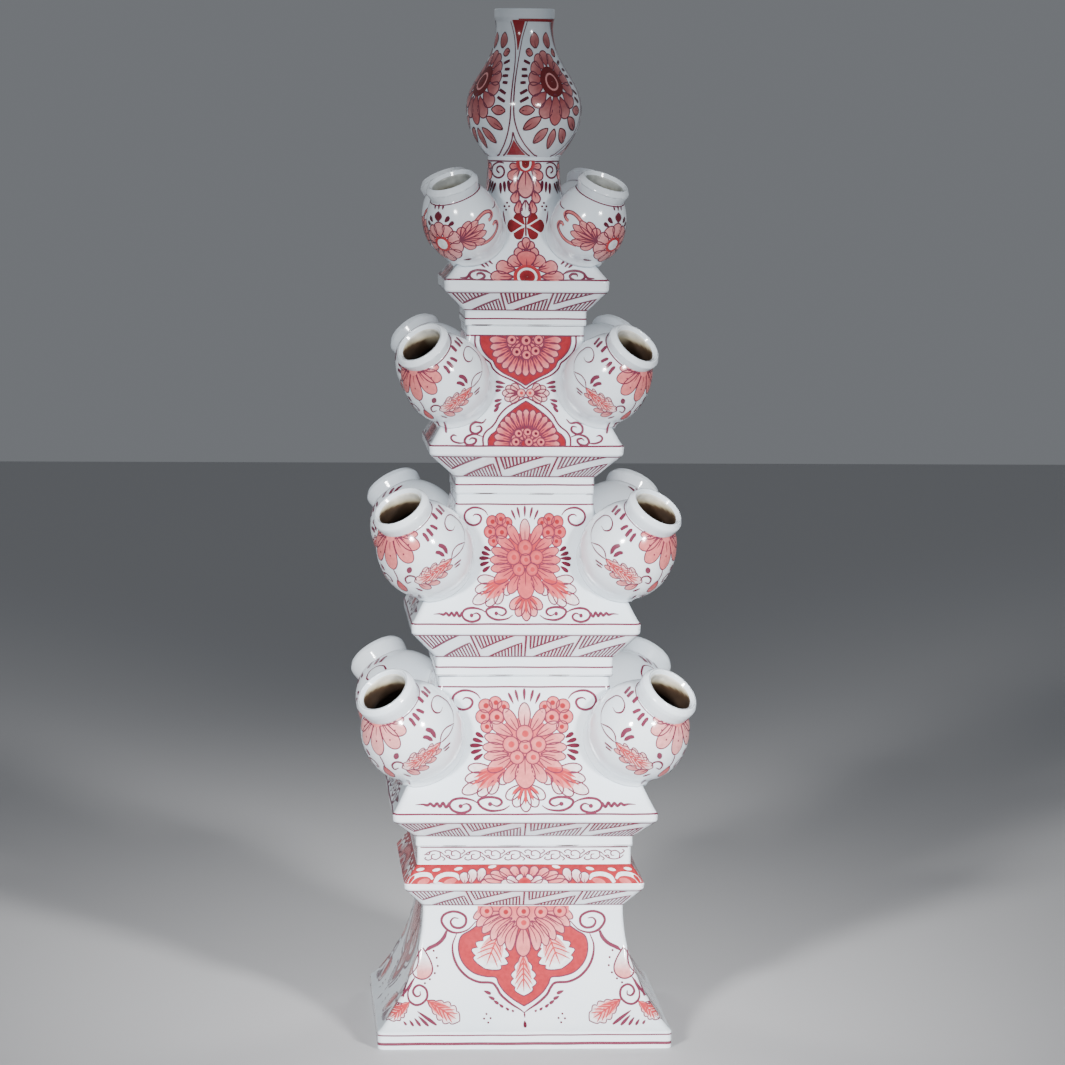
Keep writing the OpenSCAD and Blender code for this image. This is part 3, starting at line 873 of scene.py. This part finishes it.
def bouquet(tones, spray):
    """Flower with berry clusters, leaves and a running scroll, for the two lower tiers."""
    base, middle, tip = tones.split()
    d = Drawing()
    d.both = True
    d.stroke([(-44, 13), (-48, 8), (-55, 5), (-63, 5), (-70, 9), (-72, 15), (-69, 21), (-62, 24), (-55, 22),
              (-52, 17), (-54, 13), (-59, 12), (-62, 14)], 2.1)
    d.dashes([(-41, 51.8, -49, 47), (-42, 56.3, -52, 53), (-42, 59.45, -55, 59.5), (-43, 63.5, -54, 67),
              (-42, 68, -51, 74)], width=3.3, ink="dark")
    d.dashes([(-6, 16, -9, 4, 2.1), (-11, 18, -16, 7, 2.0)])
    d.stroke([(-47, 118), (-53, 114.5), (-63, 112.5), (-72, 114), (-76, 119), (-73, 124.5), (-65, 127),
              (-57, 125), (-55, 121), (-59, 118), (-65, 120)], 2.2)
    d.disc(-65, 120.4, 2.2, 5, "line")
    d.disc(-35.6, 118.4, 2.2, 5, "line")
    d.stroke([(-16, 120), (-23, 124), (-35, 125), (-44, 121.5), (-47.5, 116), (-43, 112.5), (-34, 111.5),
              (-26, 113.5), (-24, 117.5), (-29, 120.5), (-36, 117.5)], 2.2)
    d.stroke([(-110, 119), (-103, 118.6), (-98, 119.5), (-95, 117.8), (-91.5, 120.5), (-88.5, 117.5),
              (-85.5, 121), (-82.5, 117), (-79.5, 121.5), (-76, 117)], 2.4, ends=(0.2, 1))
    d.petals([(-31, 83, -57, 82, 10), (-32, 88, -60, 94, 11), (-33, 93, -63, 107, 12), (-20, 86, -24, 99, 10),
              (-26, 92, -36, 108, 10), (-30, 93, -47, 110, 11)], 0, "pink white", vein=0, full=1.6, line=1.2)
    d.petal(-20, 80, -48, 101, 17, 1, "red coral pink", None, 0, full=1.1)
    for x, y in ((-46, 86), (-51, 92), (-54, 100), (-47, 103), (-39, 103), (-31, 100)):
        ink = "red" if x < -46 else "coral"
        d.stroke([(-22, 82), (0.5 * x - 13, 0.5 * y + 40), (x, y)], 2.2, 2, ink, (1, 0.15))
    d.disc(-31, 28, 13, 0, "red")
    d.berries([(-21, 21, 6), (-29, 17, 6.5), (-38, 41, 6), (-39, 20, 7), (-28, 31.5, 7), (-42, 31, 7)],
              1, "deep", base, middle)
    d.disc(0, 60, 33, 1, base, 0.86)
    d.petals([(-6, 46, -20, 23, 11), (-12, 50, -34, 37, 11), (-17, 57, -40, 50, 10), (-17, 62, -42, 61, 10),
              (-16, 68, -41, 71, 10), (-13, 71, -37, 85, 13), (-7, 76, -20, 97, 12)], 2, tones)
    d.both = False
    d.dash(0, 14.5, 0, 2.5)
    for y0, x, y in ((98, -19, 113), (98, 19, 113), (100, -11, 121), (100, 11, 121), (100, 0, 126)):
        d.petal(0, y0, x, y, 11, 0, spray, vein=0, full=1.7, line=1.2)
        d.stroke([(0, 97), (0.42 * x, 0.42 * y + 56), (0.72 * x, 0.72 * y + 28)], 2.4, 2, "red", (1, 0.15))
    d.petal(0, 46, 0, 17, 12, 3, f"{base} {tip} pale")
    d.petal(0, 70, 0, 103, 20, 3, f"{base} {middle} {middle}", full=1.5)
    d.berries([(0.5, 61, 6.5), (-14, 58.5, 8), (13.5, 58.5, 8), (-8, 71.5, 7), (8, 71.5, 7), (0, 48, 8.5)],
              5, "red", base, middle)
    return d


def lambrequin():
    """The plinth's hanging red ground with leaves and petals, volutes, pendants and corner sprays."""
    d = Drawing()
    d.both = True
    d.stroke([(-47, 921), (-56, 930), (-67, 933), (-76, 930), (-82, 922), (-80, 915), (-72, 911.5),
              (-64, 912.5), (-58, 917), (-58, 924), (-63, 928), (-70, 927), (-73, 922), (-70, 918),
              (-65, 918.5)], 2.2)
    d.stroke([(-77, 931), (-80, 938), (-86, 944), (-94, 948), (-98, 951)], 3.2, ends=(0.6, 0.4))
    d.petal(-101, 948, -102, 979, 21, 1, "white white pink rose", vein=0, full=1.75, line=1.3)
    d.stroke([(-109, 977), (-114, 985), (-119, 992), (-124, 997)], 2.0)
    d.dots([(-90, 951), (-87, 958), (-86, 966), (-89, 973), (-94, 979), (-99, 983), (-38, 1014),
            (-40.5, 1018.7), (-34, 1018.3), (-36.5, 1022.7)])
    d.stroke([(-112, 984), (-116, 992), (-115, 1000), (-109, 1004.5), (-102, 1003), (-97, 997), (-98, 989),
              (-104, 985), (-109, 987), (-111, 992), (-108, 996), (-104, 995), (-104, 991)], 2.0)
    d.leaf(-97, 1000, -65, 1021, 21, 5, "coral rose pale", "pink white")
    d.leaf(-115, 1002, -136, 1019, 16, 5, "coral rose pale", "pink white")
    d.dashes([(-107, 1011, -88, 1025, 2.6), (-106, 1016, -96, 1026, 2.4), (-110, 1018, -104, 1026, 2.2),
              (-115, 1020, -111, 1026, 2), (-121, 1021, -118, 1025, 1.8)])
    top = ((-46, 905.8), (-46, 915), (-40, 926))
    d.sheet(1, [[(x, y) for x in np.linspace(left, 0, 12)] for left, y in top], "coral rose")
    d.stroke([(-67, 934), (-71, 945), (-70, 957), (-65, 968), (-56, 977), (-45, 982), (-32, 983), (-27, 988),
              (-23, 995), (-14, 1003), (-5, 1009), (0, 1013)], 2.2)
    d.ground([(-44, 924), (-54, 931), (-62, 936), (-65, 945), (-64, 956), (-59, 965.5), (-50, 973),
              (-38, 976.5), (-28, 977.5), (-25, 984), (-19, 992.5), (-10, 1000), (0, 1006)], "ground")
    d.dashes([(-40, 991, -33, 994, 2.6), (-35.5, 996.5, -29.5, 999.5, 2.5), (-30.5, 1000.5, -25.5, 1004, 2.4),
              (-25, 1004, -21, 1007.5, 2.2), (-18.5, 1007.5, -15.5, 1010.5, 2),
              (-12.5, 1010, -10.5, 1012, 1.8)])
    d.leaf(-23, 929, -38.5, 969, 37, 5, "rose pink white", full=1.7, tip=0.5)
    plumes = ((-20, 911, -50, 918), (-18, 913, -47, 926), (-15, 915, -41, 933), (-11, 918, -32, 940),
              (-8, 921, -24, 946), (-4, 924, -14, 951))
    for k, plume in enumerate(plumes):
        d.petal(*plume, 10.5, 2 + 1.2 * k, "coral rose pink", full=1.5, vein=0.75, bend=3.0)
    d.berries([(-37, 911, 6.5), (-18, 912, 6.5)], 11, "deep")
    d.both = False
    d.leaf(0, 953, 0, 996, 25, 5, "rose pink white", full=1.5, tip=0.6)
    d.petal(0, 926, 0, 957, 15, 9.2, "coral rose rose", full=1.6)
    d.berry(0, 923, 7, 12)
    d.berry(0, 911.5, 6.5, 11, "deep")
    d.trace([(0, 1012), (0.3, 1018)], 1.6, ends=(0.35, 0.35))
    d.dash(0, 1021, 0.5, 1028, 2.6, "dark")
    return d


def zigzag(width, units, height, bold):
    """Hatched triangles set against one another between two lines."""
    d = Drawing()
    w = width / units

    def line(left, *points, wide=1.35):
        d.trace([(left + a * w, b * height) for a, b in points], bold * wide)
    hatches = max(7, int(w * 0.68 / 3.3))
    for k in range(units):
        x = -width / 2 + k * w
        for t in np.linspace(0, 1, hatches + 1)[1:-1]:
            line(x, (0.08 + 0.7 * t, 0.02), (0.09 + 0.69 * t, 0.02 + 0.6 * (1 - t)), wide=1.25)
            line(x, (0.92 - 0.7 * t, 0.98), (0.93 - 0.7 * t, 0.98 - 0.62 * (1 - t)), wide=1.25)
        line(x, (0.08, 0.02), (0.1, 0.62), (0.78, 0.02))
        line(x, (0.2, 0.98), (0.92, 0.36), (0.92, 0.98))
        if k:
            line(x, (0, 0), (0, 1))
    for y in (0, height):
        d.trace([(-width / 2, y), (width / 2, y)], 1.8 * bold)
    return d


def hoop(body, z, width=0.8, ink="line"):
    """Paints a line right round a square piece at one height, a little wavy."""
    piece = squares[body]
    half = float(piece.half(z))
    corner = float(piece.corner_of(np.array([z]), np.array([half]))[0])
    s = np.append(side_steps(half, corner, 24), half - corner + corner * math.pi / 4) / UNIT
    d = Drawing()
    d.trace(np.stack([s, 0.12 * np.sin(0.11 * s + z)], 1), width / UNIT, 4, ink)
    lay_sides(body, d, [(-9, z + 9 * UNIT), (9, z - 9 * UNIT)], "hoop", (s[0], -2, s[-1], 2))


def twin_lambrequins():
    """Two red grounds meeting at a bow, each with half a chrysanthemum, for the third tier."""
    d = Drawing()
    d.both = True
    top_in = [(-45.5, 335), (-45.5, 343), (-42.5, 351), (-36.5, 358), (-32.5, 361), (-29.5, 367),
              (-22.5, 373), (-12.5, 378), (-5.5, 382), (0, 385.5)]
    top_out = [(-50.5, 335), (-50.5, 344), (-47.5, 352), (-40.5, 359), (-35.5, 363), (-32.5, 369),
               (-25.5, 375), (-15.5, 379.5), (-6.5, 384), (0, 389)]
    low_in = [(0, 401), (-6.5, 405), (-14.5, 411), (-22.5, 418), (-27.5, 425), (-30.5, 431), (-35.5, 435),
              (-38.5, 440), (-38.5, 446)]
    low_out = [(0, 397), (-9.5, 402), (-18.5, 407), (-26.5, 415), (-30.5, 422), (-34.5, 427), (-40.5, 432),
               (-43.5, 438), (-43.5, 446)]
    for inner, outer in ((top_in, top_out), (low_in, low_out)):
        d.stroke(outer, 1.5, ends=(1, 1))
        d.ground(inner, "deep")
    d.dashes([(-20.5, 383.8, -30, 381.5), (-21.5, 387.3, -30, 386.6), (-24.5, 390, -30.5, 391),
              (-24, 399.5, -31.5, 401.5), (-24.5, 402.5, -31.5, 407), (-27, 406.5, -32, 412)], width=2.4)
    d.stroke([(-40, 419), (-44, 423), (-50.5, 422.5), (-55.5, 426), (-55.5, 432), (-50, 434), (-45, 430.5),
              (-46, 426.5), (-50.5, 427)], 2.0)
    d.stroke([(-44, 437), (-52, 434.6), (-59.5, 437), (-62, 442), (-58.5, 445.3), (-52.5, 444), (-50.5, 440),
              (-54.5, 438.3), (-57.5, 440.5)], 2.0)
    d.stroke([(-61, 443), (-67.5, 443.5), (-73.5, 441.5), (-75.5, 438), (-73, 435.5), (-69.5, 436.5)], 1.7)
    for x, y in ((-14, 384.5), (-20, 387.5), (-23.5, 393.2), (-21, 399.5), (-15, 402.5)):
        d.petal(-5, 393, x, y, 8, 1, "coral pink pale", full=1.8, vein=0)
    d.berry(-4.6, 393, 4.2, 3, "red", "rose", "pink")
    d.both = False
    d.fan(0, 341, 36, 35, -2, 182, 15, 0.42, 7.6, 1, "red coral pink")
    d.fan(0, 339, 19, 19, -5, 185, 9, 0.3, 8, 3, "coral rose", vein=0)
    d.berries([(-14, 340, 4.8), (0.5, 340.5, 5), (13, 340, 4.8), (-9, 352, 4.6), (1, 355, 4.6),
              (10, 351, 4.6)], 5, "dark")
    d.fan(0, 444, 33, 35, 180, 360, 15, 0.42, 7.4, 1, "red coral pink")
    d.fan(0, 445, 17, 17, 185, 355, 8, 0.3, 7.5, 3, "coral rose", vein=0)
    d.berries([(-11, 442, 4.2), (2, 442, 4.2), (14, 442, 4.2), (-8, 433.5, 4), (1, 432, 4), (9, 433.5, 4)],
              5, "dark")
    return d


def pendant_and_bow(scrolls):
    """Petal pendant, dark bow and half daisy down the face of the top tier."""
    d = Drawing()
    d.both = True
    if scrolls:
        d.stroke([(-27.7, 173.3), (-31.4, 170.8), (-30.1, 167.5), (-25.4, 166.7), (-22.2, 170), (-22.8, 175),
                  (-27.7, 178), (-35, 176.7), (-39.6, 171.7), (-37.1, 165.8), (-28.8, 162.5), (-22.2, 163.3)],
                 1.7, ends=(0.9, 0.6))
    d.stroke([(-49, 161.4), (-30, 161.2), (-11, 161.4)], 1.2, ends=(1, 1))
    d.petals([(-6, 166, -16, 166.5, 6.5), (-6, 169, -17, 179, 10), (-9, 178, -13, 193, 9.5),
              (-8, 190, -12, 203, 8.5), (-6, 200, -8, 214, 8)], 1, "coral rose pink", full=1.7, line=1.2)
    d.dashes([(-25.4, 194, -26.4, 183), (-20.9, 192.5, -21.9, 181.5), (-16.4, 191.5, -17.4, 180.5)],
             width=2.6, ink="dark")
    d.dots([(-18.5, 203), (-21, 206.5), (-16.5, 206.5), (-19.5, 210)])
    d.petals([(-1, 225, -10.5, 214.5, 10), (-2, 226, -18.5, 226, 13.5), (-1, 227.5, -10.5, 238.5, 10)],
             3, "deep maroon", None, 0, full=2.0)
    for y in (218.5, 233.5):
        d.trace([(-2, 226), (-14, y)], 1.3, 5, "white", (0.8, 1))
    d.petals([(-11, 270, -30.5, 266, 13.5), (-13, 277, -36.5, 277, 11.5), (-6, 266, -18, 258.5, 13)],
             3, "red rose pink", full=1.8, line=1.1)
    d.petal(-2, 256, -11.5, 250, 9.5, 1, "coral rose pink", full=1.8, line=1.2)
    d.petal(0, 250, -7, 242.5, 8, 2, "coral rose pink", full=1.8, line=1.2)
    for x0, y0, x1, y1 in ((-34, 264.5, -39, 260), (-38, 267, -42.5, 262), (-41.5, 268, -45.5, 264.5)):
        d.trace([(x0, y0), (x1, y1)], 1.9, ends=(0.5, 0.9))
    d.stroke([(-67, 278.5), (-60, 278), (-56, 273), (-49, 270.8), (-41, 271.6), (-35, 275)], 2.2)
    d.stroke([(-56, 273), (-57, 277.5), (-53.5, 280.5), (-47, 280.4), (-42.5, 277), (-45, 274),
              (-49.5, 274.4), (-50, 277)], 2.2)
    d.stroke([(-22.5, 211), (-21, 222), (-20.5, 230)], 1.2)
    d.both = False
    d.petal(0, 200, 0, 217.5, 10.5, 2, "coral white white", full=1.7, line=1.4)
    d.petal(0, 170, 0, 198, 16, 3, "rose pink", full=1.5, line=1.5)
    d.disc(0, 163, 9.5, 4, "maroon deep red")
    d.stroke([(-5, 161.5), (-4, 167), (0, 169.5), (4, 167), (5, 161.5)], 1.6, 6, "white", (1, 1))
    d.trace([(0, 217), (0, 236)], 1.4, 5, "maroon")
    d.petal(0, 250, 0, 237.5, 8, 3, "coral rose pink", full=1.6, line=1.2)
    d.petal(0, 270, 0, 251, 19, 5, "red coral rose", full=1.9, line=1.1)
    d.disc(0, 277, 14, 6, "maroon deep red", 0.88)
    d.ring(0, 277, 9, 1.9, 7, "white", 0.88)
    return d


def bulb_panel(band):
    """One of the bulb vase's four ogee panels: x in degrees from the daisy's middle, y down from the neck."""
    d = Drawing()

    def at(x, z):
        return (x, (NECK_Z - z) / UNIT)
    d.both = True
    side = [(-28, 612), (-32, 608), (-38, 601), (-42, 591), (-43.5, 580), (-43.6, 566), (-43.2, 556),
            (-41.5, 550), (-38, 544), (-31, 538), (-19.7, 533), (-12, 531.6)]
    hem = ((-45, 546), (-42.5, 541), (-37, 536.5), (-29, 533), (-24, 531.8))
    for points, width in ((side, 1.2), (hem, 1.3)):
        d.stroke([at(*p) for p in points], width, ends=(1, 1))
    low = ((541.5, 0.1), (538, 4), (535, 8.5), (532.2, 15))
    high = ((613, 13), (608, 9), (604, 5.6), (600, 3), (595, 0.8))
    for wedge in (low, high):
        d.sheet(1, [[at(-45 + k * w, z) for k in (0, 0.5, 1)] for z, w in wedge], "deep")
    bars = ((-34, 588.6, -25, 586.8), (-36.7, 583.3, -29.6, 583.3), (-36.6, 579.4, -29, 579.4),
            (-37.7, 575.2, -31.6, 575.5), (-37.5, 568.7, -30, 571.2), (-37.4, 563.9, -28.9, 566.8))
    for x0, z0, x1, z1 in bars:
        d.trace([at(x0, z0), at(x1, z1)], 2.7, 5, "dark", (0.8, 0.8))

    def oval(x0, z0, x1, z1, width):
        d.petal(*at(x0, z0), *at(x1, z1), width, 3, "mauve mauve pink", "dark", 0.5, full=1.0, tip=0.7)
    for row in ((-38, 558.6, -23, 559.4, 9.5), (-34, 547.5, -16, 555, 9.5), (-22, 539.5, -7.5, 548.3, 9.5),
                (-31, 594.2, -19, 592.8, 8), (-13, 596, -14.5, 605.5, 18)):
        oval(*row)
    for x, y in ((-14, -27), (-23, -17), (-28, -4), (-28.5, 9), (-24, 24), (-14, 36)):
        d.petal(0.4 * x, 55 + 0.4 * y, x, 55 + y, 14, 1, "deep mauve pink", vein=0, full=1.9)
    d.both = False
    oval(0, 536, 0, 548, 10)
    d.petal(0, 40, 0, 24, 16, 1, "deep mauve pink", vein=0, full=1.9)
    d.petal(0, 66, 0, 98, 14, 2, "deep mauve rose", vein=0, full=1.7)
    d.disc(0, 55, 14.5, 4, "maroon", 1.06)
    d.ring(0, 55, 7.2, 1.6, 5, "pink", 1.1)
    if band:
        d.trace([at(x, 612.9) for x in range(-45, 46, 5)], 2.4, 5, "deep")
    return d


def garland(tones):
    """Spout decoration of the lower tiers: half daisy, dashes, tendrils and a feathered garland."""
    d = Drawing()
    d.both = True
    for x, y, w in ((36, -60, 8), (37.5, -47, 13), (27, -34.5, 16)):
        d.petal(0.12 * x, -66, x, y, w, 1, tones, full=1.8, vein=0.5)
        d.disc(0.66 * x, 0.66 * y - 21, 1.0, 3, "line")
    touches = (([(59, -99), (68, -89), (76.5, -78)], 3.8), ([(57, -90), (65, -82.5), (71.5, -74.5)], 3.8),
               ([(53, -81.5), (58, -76), (63, -70)], 3.6), ([(42, -60), (46, -55), (49, -48.5)], 3.0),
               ([(46.5, -63.5), (51, -58.5), (55, -52)], 3.2), ([(51.5, -66), (57, -62), (62, -57)], 3.0))
    for points, w in touches:
        d.stroke(points, w, ends=(0.3, 0.8))
    d.stroke([(95.2, -4.7), (105.6, -14), (108, -36), (96, -61), (83, -68), (75, -61), (76.5, -49), (85, -41),
              (92.7, -42.5)], 1.8)
    d.stroke([(94.5, -3), (83.5, -15.5), (74, -17), (67, -10)], 1.6)
    d.stroke([(94.5, -3), (83, -4), (74, -7), (67, -10)], 1.6)
    d.stroke([(59.7, -38.9), (65.3, -31), (66.2, -20)], 4.0, ends=(0.6, 0.12))
    d.stroke([(54, -33), (58.5, -28.5), (62, -20.5)], 3.5, ends=(0.6, 0.12))
    d.stroke([(65, 0.2), (70, 2.6), (75, 5.6)], 2.2, ends=(0.3, 0.9))
    d.trace([(64, 4), (71, 8.2)], 2.2, ends=(0.3, 0.9))
    d.petals([(23, -7, 30, 7, 8), (30, -6, 42, 6, 8), (42, -6, 54, 2.5, 7.5), (52, -7, 64, -1, 6)],
             0, "coral pink", full=1.4)
    d.petals([(30, -12, 40, -22, 7), (40, -12, 50, -21, 7), (50, -11, 60, -18, 6)], 0, "rose pale", full=1.4)
    d.leaf(68, -10, 20, -10.5, 19, 6, "rose pink pink", "pink pale", 1.2, 0.6)
    d.stroke([(23, -11.5), (22.6, -17), (17, -19.6), (11.3, -16.6), (10.8, -10.8), (16.6, -11.6)], 1.8)
    d.petal(17.5, -23, 23, -29, 6, 4, "line", None, 0, full=1.0)
    d.trace([(2.5, 9), (-1, 18)], 2.0, ends=(0.9, 0.4))
    d.trace([(11, 12), (5, 24)], 2.0, ends=(0.9, 0.4))
    d.dash(16.6, -2, 20.5, 5.5)
    d.both = False
    d.petal(0, -66, 0, -28.5, 18, 2, tones, full=1.8, vein=0.5)
    d.disc(0, -43, 1.0, 4, "line")
    d.disc(0, -61, 7, 4, "rose", 0.7)
    d.stroke([(0, -29), (1.4, -20), (0, -12)], 1.4)
    d.petal(0, -15, 0, 3, 11, 2, "red coral", full=1.5, vein=0)
    return d


def flower_spray():
    """Spout decoration of the top tier: an open flower with a leaf spray each side."""
    d = Drawing()
    d.both = True
    curls = ([(40, -20), (47, -25), (53.5, -26.8), (60, -24.6), (62.4, -19), (59.6, -14.6), (55.5, -14)],
             [(37, 8), (47.3, 11.8), (57, 10.8), (64.5, 6), (66, -1), (63, -5), (59, -3)])
    for points in curls:
        d.stroke(points, 4.6, 0, "rose", (1, 0.5))
        for rise in (-2.2, 2.2):
            d.stroke([(x, y + rise) for x, y in points], 1.2, 1)
    for x, y in ((31.5, 8.5), (43, 8), (26, -20), (34.5, -23.5), (43, -21), (49, -2.5), (49.5, -12.5)):
        d.petal(21, -7, x, y, 9.5, 1, "deep rose pink", full=1.8, vein=0.75)
    d.stroke([(75.5, -37), (74.5, -31), (70.5, -27.4), (64.5, -26.6)], 2.0)
    d.dashes([(8.2, -28, 13.7, -32.2, 3.4), (12.1, -24.4, 18.2, -26.8, 3)], ink="dark")
    d.trace([(5.2, -39), (6.2, -43)], 2.2, ends=(0.35, 0.35))
    d.dash(12, 18.5, 19.5, 21.5, 2.4, "dark")

    def petal(x0, y0, x1, y1, width, level, full=1.9):
        d.petal(x0, y0, x1, y1, width, level, "red pink pink", full=full, vein=0)
    for a in np.radians((-18, 18, 54)):
        c, s = math.cos(a), math.sin(a)
        petal(7 * c, -6 + 7 * s, 22.5 * c, -6 + 22.5 * s, 14, 2)
    petal(4.5, -12, 12.8, -23.5, 13, 3)
    d.both = False
    d.trace([(0, -39), (0.4, -43.4)], 2.2, ends=(0.35, 0.35))
    petal(0, 0, 0, 17.5, 14, 3)
    petal(0, -13, 0, -28, 13.5, 4, 1.7)
    d.petal(0, -28.8, 0, -37, 9, 4, "maroon dark", full=1.1, vein=0, tip=0.9)
    d.disc(0, -6, 9.4, 5, "red", 0.92)
    d.disc(0, -6, 6.2, 6, "white", 0.92)
    return d


def roof():
    """Red ground with white scrolls and a half flower on the sloping top of the plinth."""
    d = Drawing()
    rows = ((0, 107), (7, 111.2), (14, 115.4), (20, 119))
    d.sheet(0, [[(x, y) for x in np.linspace(-1, 1, 241) * half] for y, half in rows], "deep ground ground")
    d.both = True
    for points in ([(-116, 20), (-112, 14), (-105, 10.5), (-96, 10.5), (-92, 15)],
                   [(-90, 19), (-86, 13), (-78, 10), (-69, 11), (-65, 15.5)]):
        d.stroke(points, 3.6, 2, "white", (0.8, 0.5))
        d.petal(points[0][0] + 9, 19.5, points[-1][0] - 3, 15.5, 6, 1, "rose coral", None, 0, full=1.0)
    d.petals([(-60, 20, -60, 8, 10), (-54, 20, -51, 5, 10), (-46, 18, -41, 4, 9)], 2, "rose white",
             vein=0.4, full=1.5, line=0.9)
    for x, y in ((-104, 5), (-88, 5.5), (-66, 4.5), (-32, 2.6)):
        d.petal(x - 4, y + 0.8, x + 4, y - 0.8, 3, 2, "white", None, 0, full=1.0)
    d.both = False
    d.fan(0, 21, 44, 19, 186, 354, 11, 0.35, 9, 2, "red rose pink", 0.5)
    d.fan(0, 21, 24, 10, 190, 350, 6, 0.3, 8, 4, "coral white", 0)
    d.disc(0, 18, 6, 6, "deep red", 0.7)
    return d


def frieze():
    """A running vine with curled tendrils for the plinth's collar."""
    d = Drawing()
    vine = ([(0, 0), (5, 3.4), (11, 4.6), (16.5, 3), (20, 0)],
            [(15.5, 3.4), (16, -1.5), (12, -4.6), (7.5, -3.4), (7.6, 0.2), (10.6, 0.8)],
            [(8, -3.8), (4, -5.4), (0.6, -4), (1.8, -2)],
            [(17, -1), (20.5, -4), (18.5, -6)],
            [(6, 3.6), (4.4, 0.6), (1.6, 0.8)])
    for k in range(10):
        left, turn = -100 + 20 * k, (1 if k % 2 else -1)
        for points in vine:
            d.stroke([(left + x, 9 + y * turn) for x, y in points], ends=(0.9, 0.6))
    d.trace([(-104, 0.8), (104, 0.8)], 0.8)
    return d


def spout_place(spout, radius):
    """Places drawing points round the outer side of a globe, whose radius is in drawing units."""
    tilt = math.radians(100)
    middle = math.cos(tilt) * spout.axis + math.sin(tilt) * spout.outer
    down = -math.sin(tilt) * spout.axis + math.cos(tilt) * spout.outer

    def place(points, lift):
        far = np.hypot(points[:, 0], points[:, 1]) + TINY
        way = (points[:, :1] * spout.across + points[:, 1:] * down) / far[:, None]
        d = np.cos(far / radius)[:, None] * middle + np.sin(far / radius)[:, None] * way
        return spout.on_skin(d, lift)
    return place


def collar_place(spout):
    """Places drawing points round the foot of a spout's neck; their x is in degrees."""
    crease = spout.rim_line()[0] + 0.012

    def place(points, lift):
        d = spout.direction(np.radians(points[:, 0]), crease + points[:, 1] * UNIT / spout.r)
        return spout.on_skin(d, lift)
    return place


def vase_place(turn):
    """Places drawing points on the bulb vase, turned in degrees; their x is in degrees too."""
    def place(points, lift):
        return vase.at(points[:, 0] + turn, NECK_Z - points[:, 1] * UNIT, lift)
    return place


def collar_line(width):
    """The thin painted ring at the foot of a spout's neck."""
    d = Drawing()
    d.trace([(x, 0) for x in range(0, 361, 5)], width, 4)
    return d


# The pieces
glaze, bare, pigment = glaze_material(), bare_material(), pigment_material()
spouts = [[Spout(i, corner) for corner in CORNERS] for i in range(len(TIERS))]
vase = Vase()
build_plinth()
for i, t in enumerate(TIERS):
    build_tier(t, f"tier_{i + 1}")
    for spout in spouts[i]:
        spout.build()
vase.build()

# The painting on the square pieces
lay_sides("tier_1", bouquet("coral rose pink", "pink white white"), [(0, 214.4), (64, 177), (129, 140.5)],
          "panel", (-130, 0, 130, 130))
lay_sides("tier_2", bouquet("red coral rose", "coral rose pink"), [(0, 323.7), (64, 289), (130, 253.5)],
          "panel", (-130, 0, 130, 130), stretch=0.84)
lay_sides("plinth", lambrequin(), [(905.6, 82), (941, 61), (977.1, 40), (1006, 24), (1031.9, 10.5)],
          "panel", (-150, 905, 150, 1032))
lay_sides("tier_3", twin_lambrequins(),
          [(334.9, 424.8), (362, 408.6), (390.1, 392), (418, 375.7), (446.9, 359.1)],
          "panel", (-100, 334, 100, 447))
shaft = [(160.3, 529), (183.7, 515), (208.9, 500), (234.2, 485), (259.8, 470), (280.9, 457.8)]
for k in SIDES:
    lay_sides("tier_4", pendant_and_bow(k % 2 == 0), shaft, "panel", (-85, 158, 85, 282), sides=[k])
for body, z0, z1, units, bold in (("plinth", 82.6, 93.2, 4, 1.15), ("tier_1", 125.6, 135.6, 4, 1.15),
                                  ("tier_2", 232.4, 247.4, 4, 1.3), ("tier_3", 340.0, 353.6, 3, 1.3),
                                  ("tier_4", 439.6, 451.0, 3, 1.3)):
    half = float(squares[body].half((z0 + z1) / 2))
    height = (z1 - z0) / UNIT * 1.3
    lay_sides(body, zigzag(2 * half / UNIT - 2, units, height, bold), [(0, z1), (height, z0)], "under",
              (-130, 0, 130, 30), half_ref=half)
hoop("plinth", 8.7, 0.7)
hoop("plinth", 3.6, 1.5)
for body, heights in (("tier_1", (213.8, 140.8)), ("tier_2", (323.2, 253.8, 226.0)),
                      ("tier_3", (424.3, 359.5, 335.0)), ("tier_4", (458.2, 434.5))):
    for z in heights:
        hoop(body, z)
# A grey line round each tier's foot: painted shade in the seam on the piece below
for i, t in enumerate(TIERS):
    hoop(f"tier_{i + 1}", t["levels"][0] + 0.4, 0.7, "seam_shade")
lay_sides("plinth", roof(), [(0, 108.0), (20, 97.5)], "roof", (-122, 0, 122, 20))
lay_sides("plinth", frieze(), [(0, 118.8), (18, 108.6)], "frieze", (-122, 0, 122, 20))

# The painting on the spouts and the bulb vase
designs = [(garland("rose pink pink"), 50.5, 0.7), (garland("coral rose rose"), 50.5, 0.7),
           (garland("coral rose rose"), 50.5, 0.9), (flower_spray(), 37.67, 0.9)]
for i, (design, radius, collar) in enumerate(designs):
    body = f"tier_{i + 1}"
    lay(body, design, [spout_place(spout, radius) for spout in spouts[i]], "spout", (-110, -100, 110, 30))
    lay(body, collar_line(collar), [collar_place(spout) for spout in spouts[i]], "collar", (0, -2, 360, 2))
for k in SIDES:
    lay("tier_4", bulb_panel(k < 2), [vase_place(30 + 90 * k)], "bulb", (-46, -6, 46, 130))
for body in paint:
    build_paint(body)

camera()
stage()
lights()
